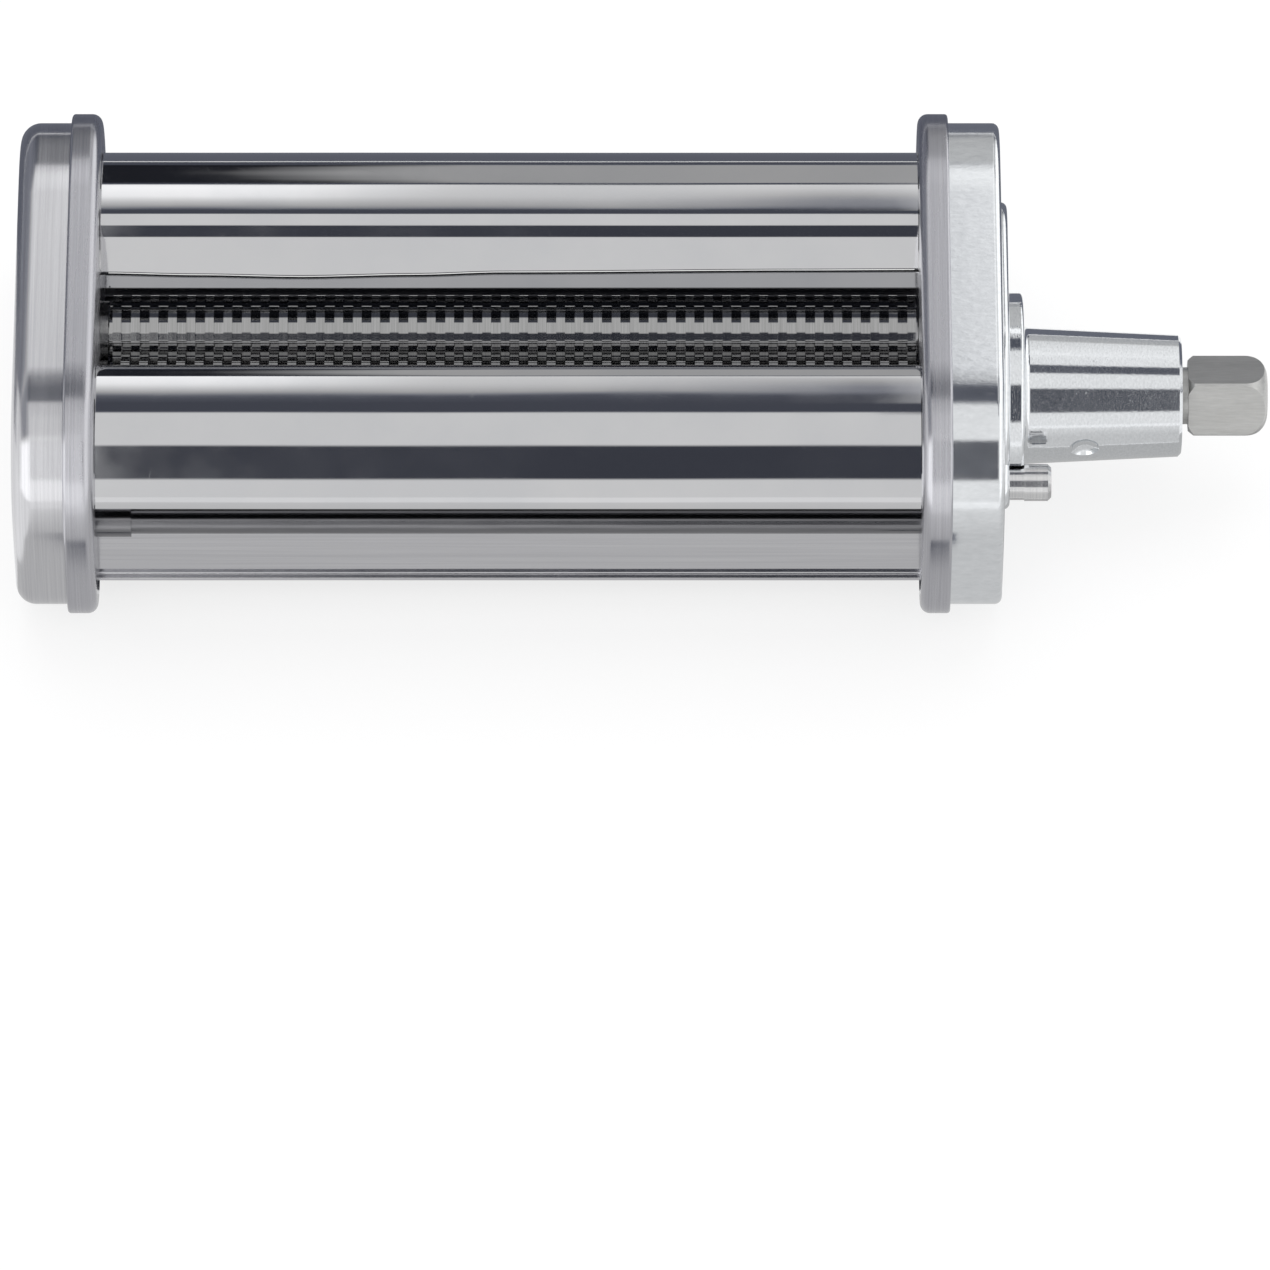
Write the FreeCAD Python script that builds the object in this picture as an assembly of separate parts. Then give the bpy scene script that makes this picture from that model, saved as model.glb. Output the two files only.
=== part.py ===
import FreeCAD, Part
import math
import os

from FreeCAD import Vector

# Pasta cutter attachment, in millimetres.
# The X axis is the drive axis, and the origin lies on it, at the seat face of the hub collar.
# +X points out of the body along the drive shaft, +Z is up, and the feed slot opens upwards.
# "Front" is the -Y side, where the driven cutter lies on the drive axis.

# End caps and side frames
body_length = 162.0
frame_thickness = 5.9
frame_overhang = 1.8
frame_inner_rounding = 2.0
frame_outer_rounding = 0.6
cap_width = 97.8
cap_height = 49.8
cap_top_radius = 21.5
cap_crown_radius = 51.0
cap_crown_angle = 8.0
cap_bottom_radius = 10.2
cap_depth = 10.2
cap_wall = 2.0
left_cap_edge_radius = 4.0
right_cap_edge_radius = 1.4
cap_lift = 5.1

# Cutters
cutter_spacing = 14.6
groove_radius = 6.15
cutter_tip_clearance = 0.2
strip_width = 1.83
disc_side_clearance = 0.1
cutter_right_gap = 0.5
cutter_shoulder_gap = 0.2
journal_radius = 4.0
journal_clearance = 0.05

# Bushes, washers and retaining rings on the journals
bush_wall = 1.8
bush_flange_gap = 0.6
bush_inner_flange = 1.5
bush_outer_flange = 1.2
seat_clearance = 0.02
end_play = 0.1
washer_inset = 0.4
washer_thickness = 0.8
ring_thickness = 0.8
ring_width = 1.9
ring_groove_depth = 0.6
ring_opening_angle = 60.0
journal_tail = 1.0

# Gears
gear_teeth = 14
gear_pressure_angle = 25.0
gear_addendum = 0.9
gear_dedendum = 1.2
gear_backlash = 0.2
gear_side_gap = 0.3
gear_end_room = 2.1
key_width = 2.0
key_height = 2.0
key_end_gap = 0.3

# Drive shaft
shaft_radius = 5.65
shaft_clearance = 0.05
neck_length = 1.4
square_size = 11.9
square_corner_radius = 8.1
square_length = 15.7
square_back_chamfer = 1.1
square_nose_radius = 4.4
square_angle = -23.0
tang_size = 5.0
tang_length = 10.0
socket_clearance = 0.06
socket_end_gap = 0.4
shaft_gear_gap = 0.5

# Hub
pad_height = 1.5
pad_rim = 1.2
pad_tail_y = 26.0
pad_tail_z = 6.0
pad_tail_radius = 14.0
pad_edge_radius = 1.2
collar_radius = 20.4
collar_thickness = 2.9
collar_edge_radius = 0.8
spigot_wall = 2.7
shank_root_radius = 13.55
shank_end_radius = 12.05
shank_length = 31.3
shank_root_fillet = 1.2
shank_end_chamfer = 0.6
hub_bush_wall = 2.1
hub_bush_length = 10.0
dimple_distance = 12.2
dimple_radius = 3.0
dimple_depth = 2.2
relief_start = 1.6
relief_length = 2.8
relief_width = 2.2
relief_depth = 0.4
relief_angle = 12.0

# Locating pin
pin_radius = 3.65
pin_offset = 21.4
pin_reach = 5.3
pin_neck_relief = 0.2
pin_seat_radius = 2.8
pin_seat_depth = 6.5
pin_chamfer = 0.7
pin_boss_wall = 1.6
pin_scallop_gap = 0.3

# Covers, guides and aprons
sheet_thickness = 0.9
cover_top_inset = 6.1
cover_side_inset = 4.5
cover_flat = 5.0
cover_flat_inner = 21.1
cover_bend_radius = 6.4
cover_edge_angle = 20.5
cover_lip_height = 15.5
funnel_angle = 55.0
guide_thickness = 1.2
guide_overlap = 3.0
guide_reach = 3.9
apron_inset = 8.4
apron_joggle = 3.3
apron_rise = 8.3
apron_rod_gap = 1.1
apron_foot_inset = 5.7
apron_lip = 1.2
apron_lip_radius = 0.5
apron_bend_radius = 1.0
guide_seam_place = 1.9
guide_seam_width = 0.4
guide_seam_depth = 0.5
tab_reach = 2.5
tab_height = 6.0
tab_clearance = 0.1

# Combs
comb_thickness = 2.0
comb_height = 3.4
comb_gap = 1.1
comb_tooth_side_gap = 0.25
comb_floor_gap = 0.3
comb_tenon = 3.0
comb_tenon_shoulder = 0.5

# Tie rods
rod_radius = 2.33
rod_thread_radius = 2.0
rod_inset = 7.5
rod_height = 4.2
lower_rod_inset = 22.9
lower_rod_lift = 8.8
rod_hole_clearance = 0.1
rod_end_reach = 1.2
nut_flats = 7.0
nut_height = 3.2
sleeve_radius = 2.95
sleeve_length = 7.0
sleeve_clearance = 0.05

# Screws
cap_screw_inset = 15.9
cap_screw_drop = 14.0
cap_screw_lift = 12.8
cap_screw_radius = 1.5
cap_screw_depth = 6.0
cap_boss_radius = 3.4
screw_head_radius = 2.8
screw_head_height = 1.9
screw_clearance = 0.05
screw_slot_width = 0.8
screw_slot_depth = 0.8
hub_screw_angle = 50.0
hub_screw_radius = 1.8
hub_screw_floor = 0.9
hub_screw_head_radius = 3.2
hub_screw_head_height = 2.0

# Stations along X, from the seat face of the collar
pad_face = -collar_thickness
right_cap_face = pad_face - pad_height
right_cap_inside = right_cap_face - cap_wall
right_frame_outer = right_cap_face - cap_depth
right_frame_inner = right_frame_outer - frame_thickness
left_frame_inner = right_frame_inner - body_length
left_frame_outer = left_frame_inner - frame_thickness
left_cap_face = left_frame_outer - cap_depth
left_cap_inside = left_cap_face + cap_wall
shank_end = shank_length
shaft_end = shank_end + neck_length + square_length

# Places across the body: the two cutter axes lie at y = 0 and y = cutter_spacing, at z = 0
middle = cutter_spacing / 2
rear_axis = cutter_spacing
half_width = cap_width / 2
cap_top = cap_lift + cap_height / 2
cap_bottom = cap_lift - cap_height / 2
disc_radius = cutter_spacing - groove_radius - cutter_tip_clearance
pitch = 2 * strip_width
disc_width = strip_width - disc_side_clearance
bush_bore = journal_radius + journal_clearance
bush_radius = journal_radius + bush_wall
bush_flange_radius = (cutter_spacing - bush_flange_gap) / 2
washer_radius = bush_flange_radius - washer_inset
hub_bush_radius = shaft_radius + shaft_clearance + hub_bush_wall
spigot_radius = hub_bush_radius + spigot_wall
hub_screw_circle = (spigot_radius + collar_radius) / 2

# Places of the covers, aprons, tie rods and cap screws, which follow the cap outline
cover_top = cap_top - cover_top_inset
cover_flat_outer = cover_flat_inner + cover_flat
cover_radius = half_width - cover_side_inset - cover_flat_outer
rod_offset = half_width - rod_inset
apron_offset = half_width - apron_inset
apron_shelf = rod_height - rod_radius - apron_rod_gap
apron_top = rod_height + apron_rise
apron_foot = cap_bottom + apron_foot_inset
lower_rod_offset = half_width - lower_rod_inset
lower_rod_height = cap_bottom + lower_rod_lift
cap_screw_offset = half_width - cap_screw_inset
cap_screw_top = cap_top - cap_screw_drop
cap_screw_bottom = cap_bottom + cap_screw_lift

# Gear stations
gear_start = right_frame_outer + bush_outer_flange + gear_side_gap
gear_end = right_cap_inside - gear_end_room
shaft_start = gear_end + shaft_gear_gap
tang_end = gear_end + tang_length


def rod_x(start, end, radius, y=0.0, z=0.0):
    """A plain round bar along X."""
    return Part.makeCylinder(radius, end - start, Vector(start, y, z), Vector(1, 0, 0))


def cone_x(start, end, start_radius, end_radius, y=0.0, z=0.0):
    """A straight taper along X."""
    return Part.makeCone(start_radius, end_radius, end - start, Vector(start, y, z), Vector(1, 0, 0))


def ring_x(start, end, outer, inner, y=0.0, z=0.0):
    """A round bar with a through bore."""
    return rod_x(start, end, outer, y, z).cut(rod_x(start, end, inner, y, z))


def block(start, end, y_low, y_high, z_low, z_high):
    """A rectangular block between two corners."""
    return Part.makeBox(end - start, y_high - y_low, z_high - z_low, Vector(start, y_low, z_low))


def at(point):
    """A section point (y, z) in the plane x = 0."""
    return Vector(0, point[0], point[1])


def round_path(points, radii):
    """Edges of an open path through section points, with tangent arcs at its inner points.

    Two arcs that meet have no straight stretch between them.
    """
    shortest = 1e-6
    edges = []
    start = at(points[0])
    for index, radius in enumerate(radii):
        corner = at(points[index + 1])
        before = (at(points[index]) - corner).normalize()
        after = (at(points[index + 2]) - corner).normalize()
        half = before.getAngle(after) / 2
        reach = radius / math.tan(half)
        bisector = (before + after).normalize()
        enter = corner + before * reach
        leave = corner + after * reach
        crown = corner + bisector * (radius / math.sin(half) - radius)
        if start.distanceToPoint(enter) > shortest:
            edges.append(Part.makeLine(start, enter))
        edges.append(Part.Arc(enter, crown, leave).toShape())
        start = leave
    edges.append(Part.makeLine(start, at(points[-1])))
    return edges


def shifted_path(points, radii, distance):
    """The path moved to its right-hand side, with its radii opened or closed to match."""
    normals = []
    for first, second in zip(points, points[1:]):
        along = (at(second) - at(first)).normalize()
        normals.append(Vector(0, along.z, -along.y))
    moved = [at(points[0]) + normals[0] * distance]
    new_radii = []
    for index, radius in enumerate(radii):
        before, after = normals[index], normals[index + 1]
        bisector = (before + after).normalize()
        moved.append(at(points[index + 1]) + bisector * (distance / bisector.dot(before)))
        turns_right = before.y * after.z - before.z * after.y < 0
        new_radii.append(radius - distance if turns_right else radius + distance)
    moved.append(at(points[-1]) + normals[-1] * distance)
    return [(point.y, point.z) for point in moved], new_radii


def sheet_face(points, radii, thickness, grow=0.0):
    """The section of a bent sheet whose show side follows the path."""
    show = shifted_path(points, radii, -grow)
    back = shifted_path(points, radii, thickness + grow)
    show_edges = round_path(*show)
    back_edges = round_path(*back)
    ends = [Part.makeLine(at(show[0][0]), at(back[0][0])), Part.makeLine(at(show[0][-1]), at(back[0][-1]))]
    return Part.Face(Part.Wire(Part.__sortEdges__(show_edges + back_edges + ends)))


def prism(face, start, end):
    """A section face pulled along X."""
    solid = face.extrude(Vector(end - start, 0, 0))
    solid.translate(Vector(start, 0, 0))
    return solid


def cap_outline(grow):
    """The rounded outline of an end cap, moved outwards by a distance.

    Each top corner turns in two steps: a tight shoulder and an easy crown that runs into the flat top.
    """
    crown = math.radians(cap_crown_angle)
    slant = cap_top_radius * math.tan((math.pi / 2 - crown) / 2) + cap_crown_radius * math.tan(crown / 2)
    inward, drop = slant * math.cos(crown), slant * math.sin(crown)
    left, right = middle - half_width, middle + half_width
    points = [(middle, cap_bottom), (left, cap_bottom), (left, cap_top - drop), (left + inward, cap_top),
              (right - inward, cap_top), (right, cap_top - drop), (right, cap_bottom), (middle, cap_bottom)]
    radii = [cap_bottom_radius, cap_top_radius, cap_crown_radius]
    outline = round_path(*shifted_path(points, radii + radii[::-1], -grow))
    return Part.Face(Part.Wire(Part.__sortEdges__(outline)))


def edges_at(shape, x):
    """The edges of a shape that lie in one plane across X."""
    tolerance = 1e-4
    return [edge for edge in shape.Edges
            if abs(edge.BoundBox.XMin - x) < tolerance and abs(edge.BoundBox.XMax - x) < tolerance]


def to_rear(shape):
    """The mirror image of a front piece on the rear side."""
    return shape.mirror(Vector(0, middle, 0), Vector(0, 1, 0))


def both_sides(offset):
    """The front and rear place of a piece at a distance from the middle plane."""
    return [middle - offset, middle + offset]


def turned_about_drive(shape, angle):
    """A shape turned about the drive axis, as seen from the shaft end."""
    return shape.rotate(Vector(0, 0, 0), Vector(1, 0, 0), angle)


def union(shapes):
    """Several touching shapes as one solid."""
    return shapes[0].multiFuse(shapes[1:]).removeSplitter()


# Section paths of the sheet pieces, drawn for the front side


def cover_path():
    """Lower front edge, shoulder, crest and funnel of the front cover."""
    slope = math.radians(funnel_angle)
    edge = math.radians(cover_edge_angle)
    shoulder_reach = cover_radius * math.tan((math.pi / 2 - edge) / 2)
    shoulder = (middle - cover_flat_outer - shoulder_reach, cover_top)
    crest = (middle - cover_flat_inner + cover_bend_radius * math.tan(slope / 2), cover_top)
    lower_run = shoulder_reach + sheet_thickness
    lower = (shoulder[0] - lower_run * math.sin(edge), shoulder[1] - lower_run * math.cos(edge))
    lip = (crest[0] + (cover_top - cover_lip_height) / math.tan(slope), cover_lip_height)
    return [lower, shoulder, crest, lip], [cover_radius, cover_bend_radius]


def guide_path():
    """The guide strip lies behind the cover lip and carries the funnel on towards the cutters."""
    slope = math.radians(funnel_angle)
    lip = cover_path()[0][-1]
    behind = (lip[0] - sheet_thickness * math.sin(slope), lip[1] - sheet_thickness * math.cos(slope))
    return [(behind[0] + reach * math.cos(slope), behind[1] - reach * math.sin(slope))
            for reach in (-guide_overlap, guide_reach)]


def apron_path():
    """Bottom lip, front wall, joggle and upper wall of the front apron."""
    wall = middle - apron_offset
    upper = wall + apron_joggle
    points = [(wall - apron_lip, apron_foot), (wall, apron_foot), (wall, apron_shelf),
              (upper, apron_shelf), (upper, apron_top)]
    radii = [apron_lip_radius, apron_bend_radius + sheet_thickness / 2, apron_bend_radius]
    return points, radii


def cover_windows():
    """Stretches of the cover that reach into the side frames."""
    points = cover_path()[0]
    flat = (middle - cover_flat_outer, middle - cover_flat_inner)
    below = cover_top - 2 * sheet_thickness
    lower = points[0][1] + sheet_thickness
    return [(flat[0], flat[1], below, cover_top + sheet_thickness),
            (points[0][0] - tab_height, middle - cover_flat_outer, lower, lower + tab_height)]


def apron_windows():
    """Stretch of the apron wall that reaches into the side frames."""
    wall = middle - apron_offset
    centre = (apron_foot + apron_shelf) / 2
    return [(wall - tab_height, wall + tab_height, centre - tab_height / 2, centre + tab_height / 2)]


def guide_windows():
    """Stretch of the guide strip that reaches into the side frames."""
    (head_y, head_z), (foot_y, foot_z) = guide_path()
    third = (head_z - foot_z) / 3
    return [(head_y - tab_height, foot_y + tab_height, foot_z + third, head_z - third)]


def windowed(face, windows, start, end, grow=0.0):
    """The stretches of a section that lie in the windows, pulled along X."""
    bar = prism(face, start, end)
    pieces = []
    for y_low, y_high, z_low, z_high in windows:
        window = block(start, end, y_low - grow, y_high + grow, z_low - grow, z_high + grow)
        pieces.append(bar.common(window))
    return pieces


def sheet_piece(points, radii, thickness, windows):
    """A sheet between the side frames with its tabs in the frames."""
    face = sheet_face(points, radii, thickness)
    sheet = prism(face, left_frame_inner, right_frame_inner)
    tabs = windowed(face, windows, left_frame_inner - tab_reach, right_frame_inner + tab_reach)
    return union([sheet] + tabs)


def guide_seam():
    """The joint line across the show side of the front guide, near the left side frame."""
    centre = left_frame_inner + guide_seam_place
    strip = sheet_face(guide_path(), [], guide_seam_depth)
    return prism(strip, centre - guide_seam_width / 2, centre + guide_seam_width / 2)


def sheet_slots(points, radii, thickness, windows, start, end):
    """The slots in a side frame that take the tabs of a sheet."""
    face = sheet_face(points, radii, thickness, tab_clearance)
    return windowed(face, windows, start, end, tab_clearance)


def sheet_kinds():
    """Path, radii, thickness and tab windows of each front sheet piece."""
    return {
        "cover": (*cover_path(), sheet_thickness, cover_windows()),
        "guide": (guide_path(), [], guide_thickness, guide_windows()),
        "apron": (*apron_path(), sheet_thickness, apron_windows()),
    }


# Fastener places


def cap_screw_places():
    """Screw axes that hold a cap to its side frame."""
    return [(y, z) for y in both_sides(cap_screw_offset) for z in (cap_screw_top, cap_screw_bottom)]


def rod_places():
    """Axes of all tie rods."""
    return [(y, rod_height) for y in both_sides(rod_offset)] + lower_rod_places()


def lower_rod_places():
    """Axes of the two lower tie rods."""
    return [(y, lower_rod_height) for y in both_sides(lower_rod_offset)]


def hub_screw_places():
    """Screw axes that hold the hub collar to the right cap, two in front and two behind."""
    angles = [math.radians(turn + side * hub_screw_angle) for turn in (0, 180) for side in (-1, 1)]
    return [(hub_screw_circle * math.cos(angle), hub_screw_circle * math.sin(angle)) for angle in angles]


# Combs


def comb_section():
    """Height limits of the comb bar under a cutter axis."""
    high = -(disc_radius + comb_gap)
    return high - comb_height, high


def comb(axis_y, tooth_centres):
    """A bar under a cutter with one tooth in each groove and a tenon at each end."""
    low, high = comb_section()
    half = comb_thickness / 2
    bar = block(left_frame_inner, right_frame_inner, axis_y - half, axis_y + half, low, high)
    tenon = block(left_frame_inner - comb_tenon, right_frame_inner + comb_tenon,
                  axis_y - half, axis_y + half, low + comb_tenon_shoulder, high - comb_tenon_shoulder)
    half_tooth = (strip_width + disc_side_clearance) / 2 - comb_tooth_side_gap
    tip = -(groove_radius + comb_floor_gap)
    teeth = [block(x - half_tooth, x + half_tooth, axis_y - half, axis_y + half, high, tip)
             for x in tooth_centres]
    return union([bar, tenon] + teeth)


def comb_pocket(axis_y, start, end):
    """The pocket in a side frame that takes a comb tenon."""
    low, high = comb_section()
    half = comb_thickness / 2 + tab_clearance
    inset = comb_tenon_shoulder - tab_clearance
    return block(start, end, axis_y - half, axis_y + half, low + inset, high - inset)


# Cutters


def rear_disc_centres():
    """Places of the rear discs, packed from the right-hand end."""
    left_space = bush_inner_flange + cutter_shoulder_gap
    length = body_length - left_space - cutter_right_gap
    count = int((length - disc_width) / pitch) + 1
    last = right_frame_inner - cutter_right_gap - disc_width / 2
    return [last - index * pitch for index in range(count)]


def front_disc_centres():
    """The front discs run in the grooves between the rear discs."""
    rear = rear_disc_centres()
    return [(first + second) / 2 for first, second in zip(rear, rear[1:])]


def ring_groove(start, radius, y):
    """The groove that a retaining ring snaps into."""
    return ring_x(start, start + ring_thickness + 2 * end_play, radius + ring_groove_depth,
                  radius - ring_groove_depth, y)


def cutter(axis_y, disc_centres, right_end):
    """A grooved roller: core, discs and a journal at each end."""
    core_start = left_frame_inner + bush_inner_flange + cutter_shoulder_gap
    core_end = right_frame_inner - cutter_shoulder_gap
    profile = [Vector(left_journal_end(), 0, 0), Vector(left_journal_end(), journal_radius, 0),
               Vector(core_start, journal_radius, 0), Vector(core_start, groove_radius, 0)]
    for centre in sorted(disc_centres):
        low, high = centre - disc_width / 2, centre + disc_width / 2
        profile += [Vector(low, groove_radius, 0), Vector(low, disc_radius, 0),
                    Vector(high, disc_radius, 0), Vector(high, groove_radius, 0)]
    profile += [Vector(core_end, groove_radius, 0), Vector(core_end, journal_radius, 0),
                Vector(right_end, journal_radius, 0), Vector(right_end, 0, 0)]
    face = Part.Face(Part.makePolygon(profile + profile[:1]))
    solid = face.revolve(Vector(0, 0, 0), Vector(1, 0, 0), 360)
    solid.translate(Vector(0, axis_y, 0))
    return solid.cut(ring_groove(left_ring_start() - end_play, journal_radius, axis_y))


def left_ring_start():
    """Left face of the retaining ring outside the left side frame."""
    return left_frame_outer - 2 * end_play - washer_thickness - ring_thickness


def left_journal_end():
    """Left end of both cutters."""
    return left_ring_start() - journal_tail


def right_ring_start():
    """Left face of the retaining ring that holds the rear gear."""
    return gear_end + end_play


def rear_journal_end():
    """Right end of the rear cutter."""
    return right_ring_start() + ring_thickness + end_play + journal_tail / 2


def key(axis_y, grow=0.0):
    """The key between a journal and its gear, on top of the journal."""
    middle_height = journal_radius
    return block(gear_start + key_end_gap - grow, gear_end - key_end_gap + grow,
                 axis_y - key_width / 2 - grow, axis_y + key_width / 2 + grow,
                 middle_height - key_height / 2 - grow, middle_height + key_height / 2 + grow)


def front_cutter():
    """The driven cutter, with a square tang for the drive shaft."""
    roller = cutter(0, front_disc_centres(), gear_end)
    half = tang_size / 2
    tang = turned_about_drive(block(gear_end, tang_end, -half, half, -half, half), square_angle)
    return union([roller, tang]).cut(key(0, seat_clearance))


def rear_cutter():
    """The cutter that the gears turn the other way."""
    roller = cutter(rear_axis, rear_disc_centres(), rear_journal_end())
    grooved = roller.cut(ring_groove(right_ring_start() - end_play, journal_radius, rear_axis))
    return grooved.cut(key(rear_axis, seat_clearance))


def retaining_ring(start, radius, y):
    """An open ring in its groove."""
    inner = radius - ring_groove_depth + seat_clearance
    outer = inner + ring_width
    ring = ring_x(start, start + ring_thickness, outer, inner, y)
    half = math.radians(ring_opening_angle / 2)
    reach = 2 * outer
    gap = Part.makePolygon([at((y, 0)), at((y - reach * math.sin(half), -reach * math.cos(half))),
                            at((y + reach * math.sin(half), -reach * math.cos(half))), at((y, 0))])
    return ring.cut(prism(Part.Face(gap), start, start + ring_thickness))


def washer(y):
    """Thrust washer between the left bush and its retaining ring."""
    end = left_frame_outer - end_play
    return ring_x(end - washer_thickness, end, washer_radius, bush_bore, y)


def left_bush(y):
    """Bush in the left side frame, with its flange towards the cutter."""
    flange_end = left_frame_inner + bush_inner_flange
    body = rod_x(left_frame_outer, left_frame_inner, bush_radius - seat_clearance, y)
    flange = rod_x(left_frame_inner, flange_end, bush_flange_radius, y)
    return union([body, flange]).cut(rod_x(left_frame_outer, flange_end, bush_bore, y))


def right_bush(y):
    """Bush in the right side frame, with its flange towards the gear."""
    flange_end = right_frame_outer + bush_outer_flange
    body = rod_x(right_frame_inner, right_frame_outer, bush_radius - seat_clearance, y)
    flange = rod_x(right_frame_outer, flange_end, bush_flange_radius, y)
    return union([body, flange]).cut(rod_x(right_frame_inner, flange_end, bush_bore, y))


# Gears


def involute(angle):
    """The involute function of a pressure angle."""
    return math.tan(angle) - angle


def gear(axis_y, first_tooth):
    """A spur gear with involute flanks, bored for its journal and slotted for its key."""
    pitch_radius = cutter_spacing / 2
    module = cutter_spacing / gear_teeth
    pressure = math.radians(gear_pressure_angle)
    base = pitch_radius * math.cos(pressure)
    tip = pitch_radius + gear_addendum * module
    root = pitch_radius - gear_dedendum * module
    half_tooth = math.pi / (2 * gear_teeth) - gear_backlash / (4 * pitch_radius)

    def flank_angle(radius):
        return half_tooth + involute(pressure) - involute(math.acos(min(1.0, base / radius)))

    def point(radius, angle):
        return Vector(0, radius * math.cos(angle), radius * math.sin(angle))

    edges = []
    foot = max(base, root)
    waist = (foot + tip) / 2
    for tooth in range(gear_teeth):
        centre = first_tooth + tooth * 2 * math.pi / gear_teeth
        following = centre + 2 * math.pi / gear_teeth
        low, mid, high = (flank_angle(radius) for radius in (foot, waist, tip))
        edges.append(Part.Arc(point(foot, centre - low), point(waist, centre - mid),
                              point(tip, centre - high)).toShape())
        edges.append(Part.Arc(point(tip, centre - high), point(tip, centre),
                              point(tip, centre + high)).toShape())
        edges.append(Part.Arc(point(tip, centre + high), point(waist, centre + mid),
                              point(foot, centre + low)).toShape())
        if base > root:
            edges.append(Part.makeLine(point(foot, centre + low), point(root, centre + low)))
            edges.append(Part.makeLine(point(root, following - low), point(foot, following - low)))
        edges.append(Part.Arc(point(root, centre + low), point(root, (centre + following) / 2),
                              point(root, following - low)).toShape())
    blank = prism(Part.Face(Part.Wire(Part.__sortEdges__(edges))), gear_start, gear_end)
    blank.translate(Vector(0, axis_y, 0))
    bored = blank.cut(rod_x(gear_start, gear_end, journal_radius + seat_clearance, axis_y))
    half_key = key_width / 2 + seat_clearance
    slot = block(gear_start, gear_end, axis_y - half_key, axis_y + half_key,
                 0, journal_radius + key_height / 2 + seat_clearance)
    return bored.cut(slot)


# Drive shaft and hub


def drive_shaft():
    """Round shaft with a square end outside and a square socket for the cutter tang inside."""
    square_start = shank_end + neck_length
    turned = rod_x(square_start, shaft_end, square_corner_radius)
    turned = turned.makeFillet(square_nose_radius, edges_at(turned, shaft_end))
    turned = turned.makeChamfer(square_back_chamfer, edges_at(turned, square_start))
    half = square_size / 2
    square = turned_about_drive(block(square_start, shaft_end, -half, half, -half, half), square_angle)
    shaft = union([rod_x(shaft_start, square_start, shaft_radius), turned.common(square)])
    hole = tang_size / 2 + socket_clearance
    socket = turned_about_drive(block(shaft_start, tang_end + socket_end_gap, -hole, hole, -hole, hole),
                                square_angle)
    return shaft.cut(socket).cut(ring_groove(shaft_ring_start() - end_play, shaft_radius, 0))


def shaft_ring_start():
    """Left face of the retaining ring that holds the drive shaft in the hub."""
    return right_cap_inside - end_play - ring_thickness


def hub_bush(start):
    """One of the two plain bushes of the drive shaft."""
    return ring_x(start, start + hub_bush_length, hub_bush_radius - seat_clearance,
                  shaft_radius + shaft_clearance)


def pin_place():
    """Axis of the locating pin."""
    return -pin_offset, 0.0


def shank_radius(x):
    """Radius of the tapered shank at a distance from the seat face."""
    return shank_root_radius - (shank_root_radius - shank_end_radius) * x / shank_end


def drive_hub():
    """Collar and tapered shank, with a spigot that centres the hub in the right cap."""
    collar = rod_x(pad_face, 0, collar_radius)
    collar = collar.makeFillet(collar_edge_radius, edges_at(collar, 0))
    shank = cone_x(0, shank_end, shank_root_radius, shank_end_radius)
    shank = shank.makeChamfer(shank_end_chamfer, edges_at(shank, shank_end))
    spigot = rod_x(right_cap_inside, pad_face, spigot_radius - seat_clearance)
    hub = union([collar, shank])
    root = [edge for edge in edges_at(hub, 0) if edge.BoundBox.ZMax < collar_radius - 2 * collar_edge_radius]
    hub = union([hub.makeFillet(shank_root_fillet, root), spigot])
    hub = hub.cut(rod_x(right_cap_inside, shank_end, hub_bush_radius))
    pin_y, pin_z = pin_place()
    hub = hub.cut(rod_x(pad_face, 0, pin_radius + pin_scallop_gap, pin_y, pin_z))
    dimple_floor = dimple_depth - shank_radius(dimple_distance)
    dimple = Part.makeCone(0, 2 * dimple_radius, 2 * dimple_depth,
                           Vector(dimple_distance, dimple_floor, 0), Vector(0, -1, 0))
    hub = hub.cut(dimple)
    relief = block(relief_start, relief_start + relief_length, -shank_root_radius - shank_root_fillet,
                   -shank_root_radius + relief_depth, -relief_width / 2, relief_width / 2)
    hub = hub.cut(turned_about_drive(relief, -relief_angle))
    for y, z in hub_screw_places():
        hub = hub.cut(rod_x(pad_face, -hub_screw_floor, hub_screw_radius + screw_clearance, y, z))
    return hub


def locating_pin():
    """Shouldered dowel beside the collar that stops the body from turning with the shaft."""
    y, z = pin_place()
    wall = rod_x(0, pin_reach, pin_radius, y, z)
    wall = wall.makeChamfer(pin_chamfer, edges_at(wall, pin_reach))
    neck = rod_x(pad_face, 0, pin_radius - pin_neck_relief, y, z)
    seat = rod_x(pad_face - pin_seat_depth, pad_face, pin_seat_radius - seat_clearance, y, z)
    return union([wall, neck, seat])


def slotted_screw(head_start, head_end, tip, head_radius, shank_radius, y, z):
    """A screw along X with a slotted cylinder head; the tip may lie on either side of the head."""
    low, high = min(head_start, head_end), max(head_start, head_end)
    inner, outer = (high, low) if tip > high else (low, high)
    shank = rod_x(min(inner, tip), max(inner, tip), shank_radius, y, z)
    slot_inner = outer + screw_slot_depth if tip > high else outer - screw_slot_depth
    slot = block(min(outer, slot_inner), max(outer, slot_inner), y - head_radius, y + head_radius,
                 z - screw_slot_width / 2, z + screw_slot_width / 2)
    return union([rod_x(low, high, head_radius, y, z), shank]).cut(slot)


def cap_screws(frame_inner, outward):
    """The screws that pass through a side frame into the bosses of its cap."""
    head_seat = frame_inner + outward * screw_head_height
    tip = frame_inner + outward * (frame_thickness + cap_screw_depth)
    return Part.makeCompound([slotted_screw(frame_inner, head_seat, tip, screw_head_radius,
                                            cap_screw_radius, y, z) for y, z in cap_screw_places()])


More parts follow.
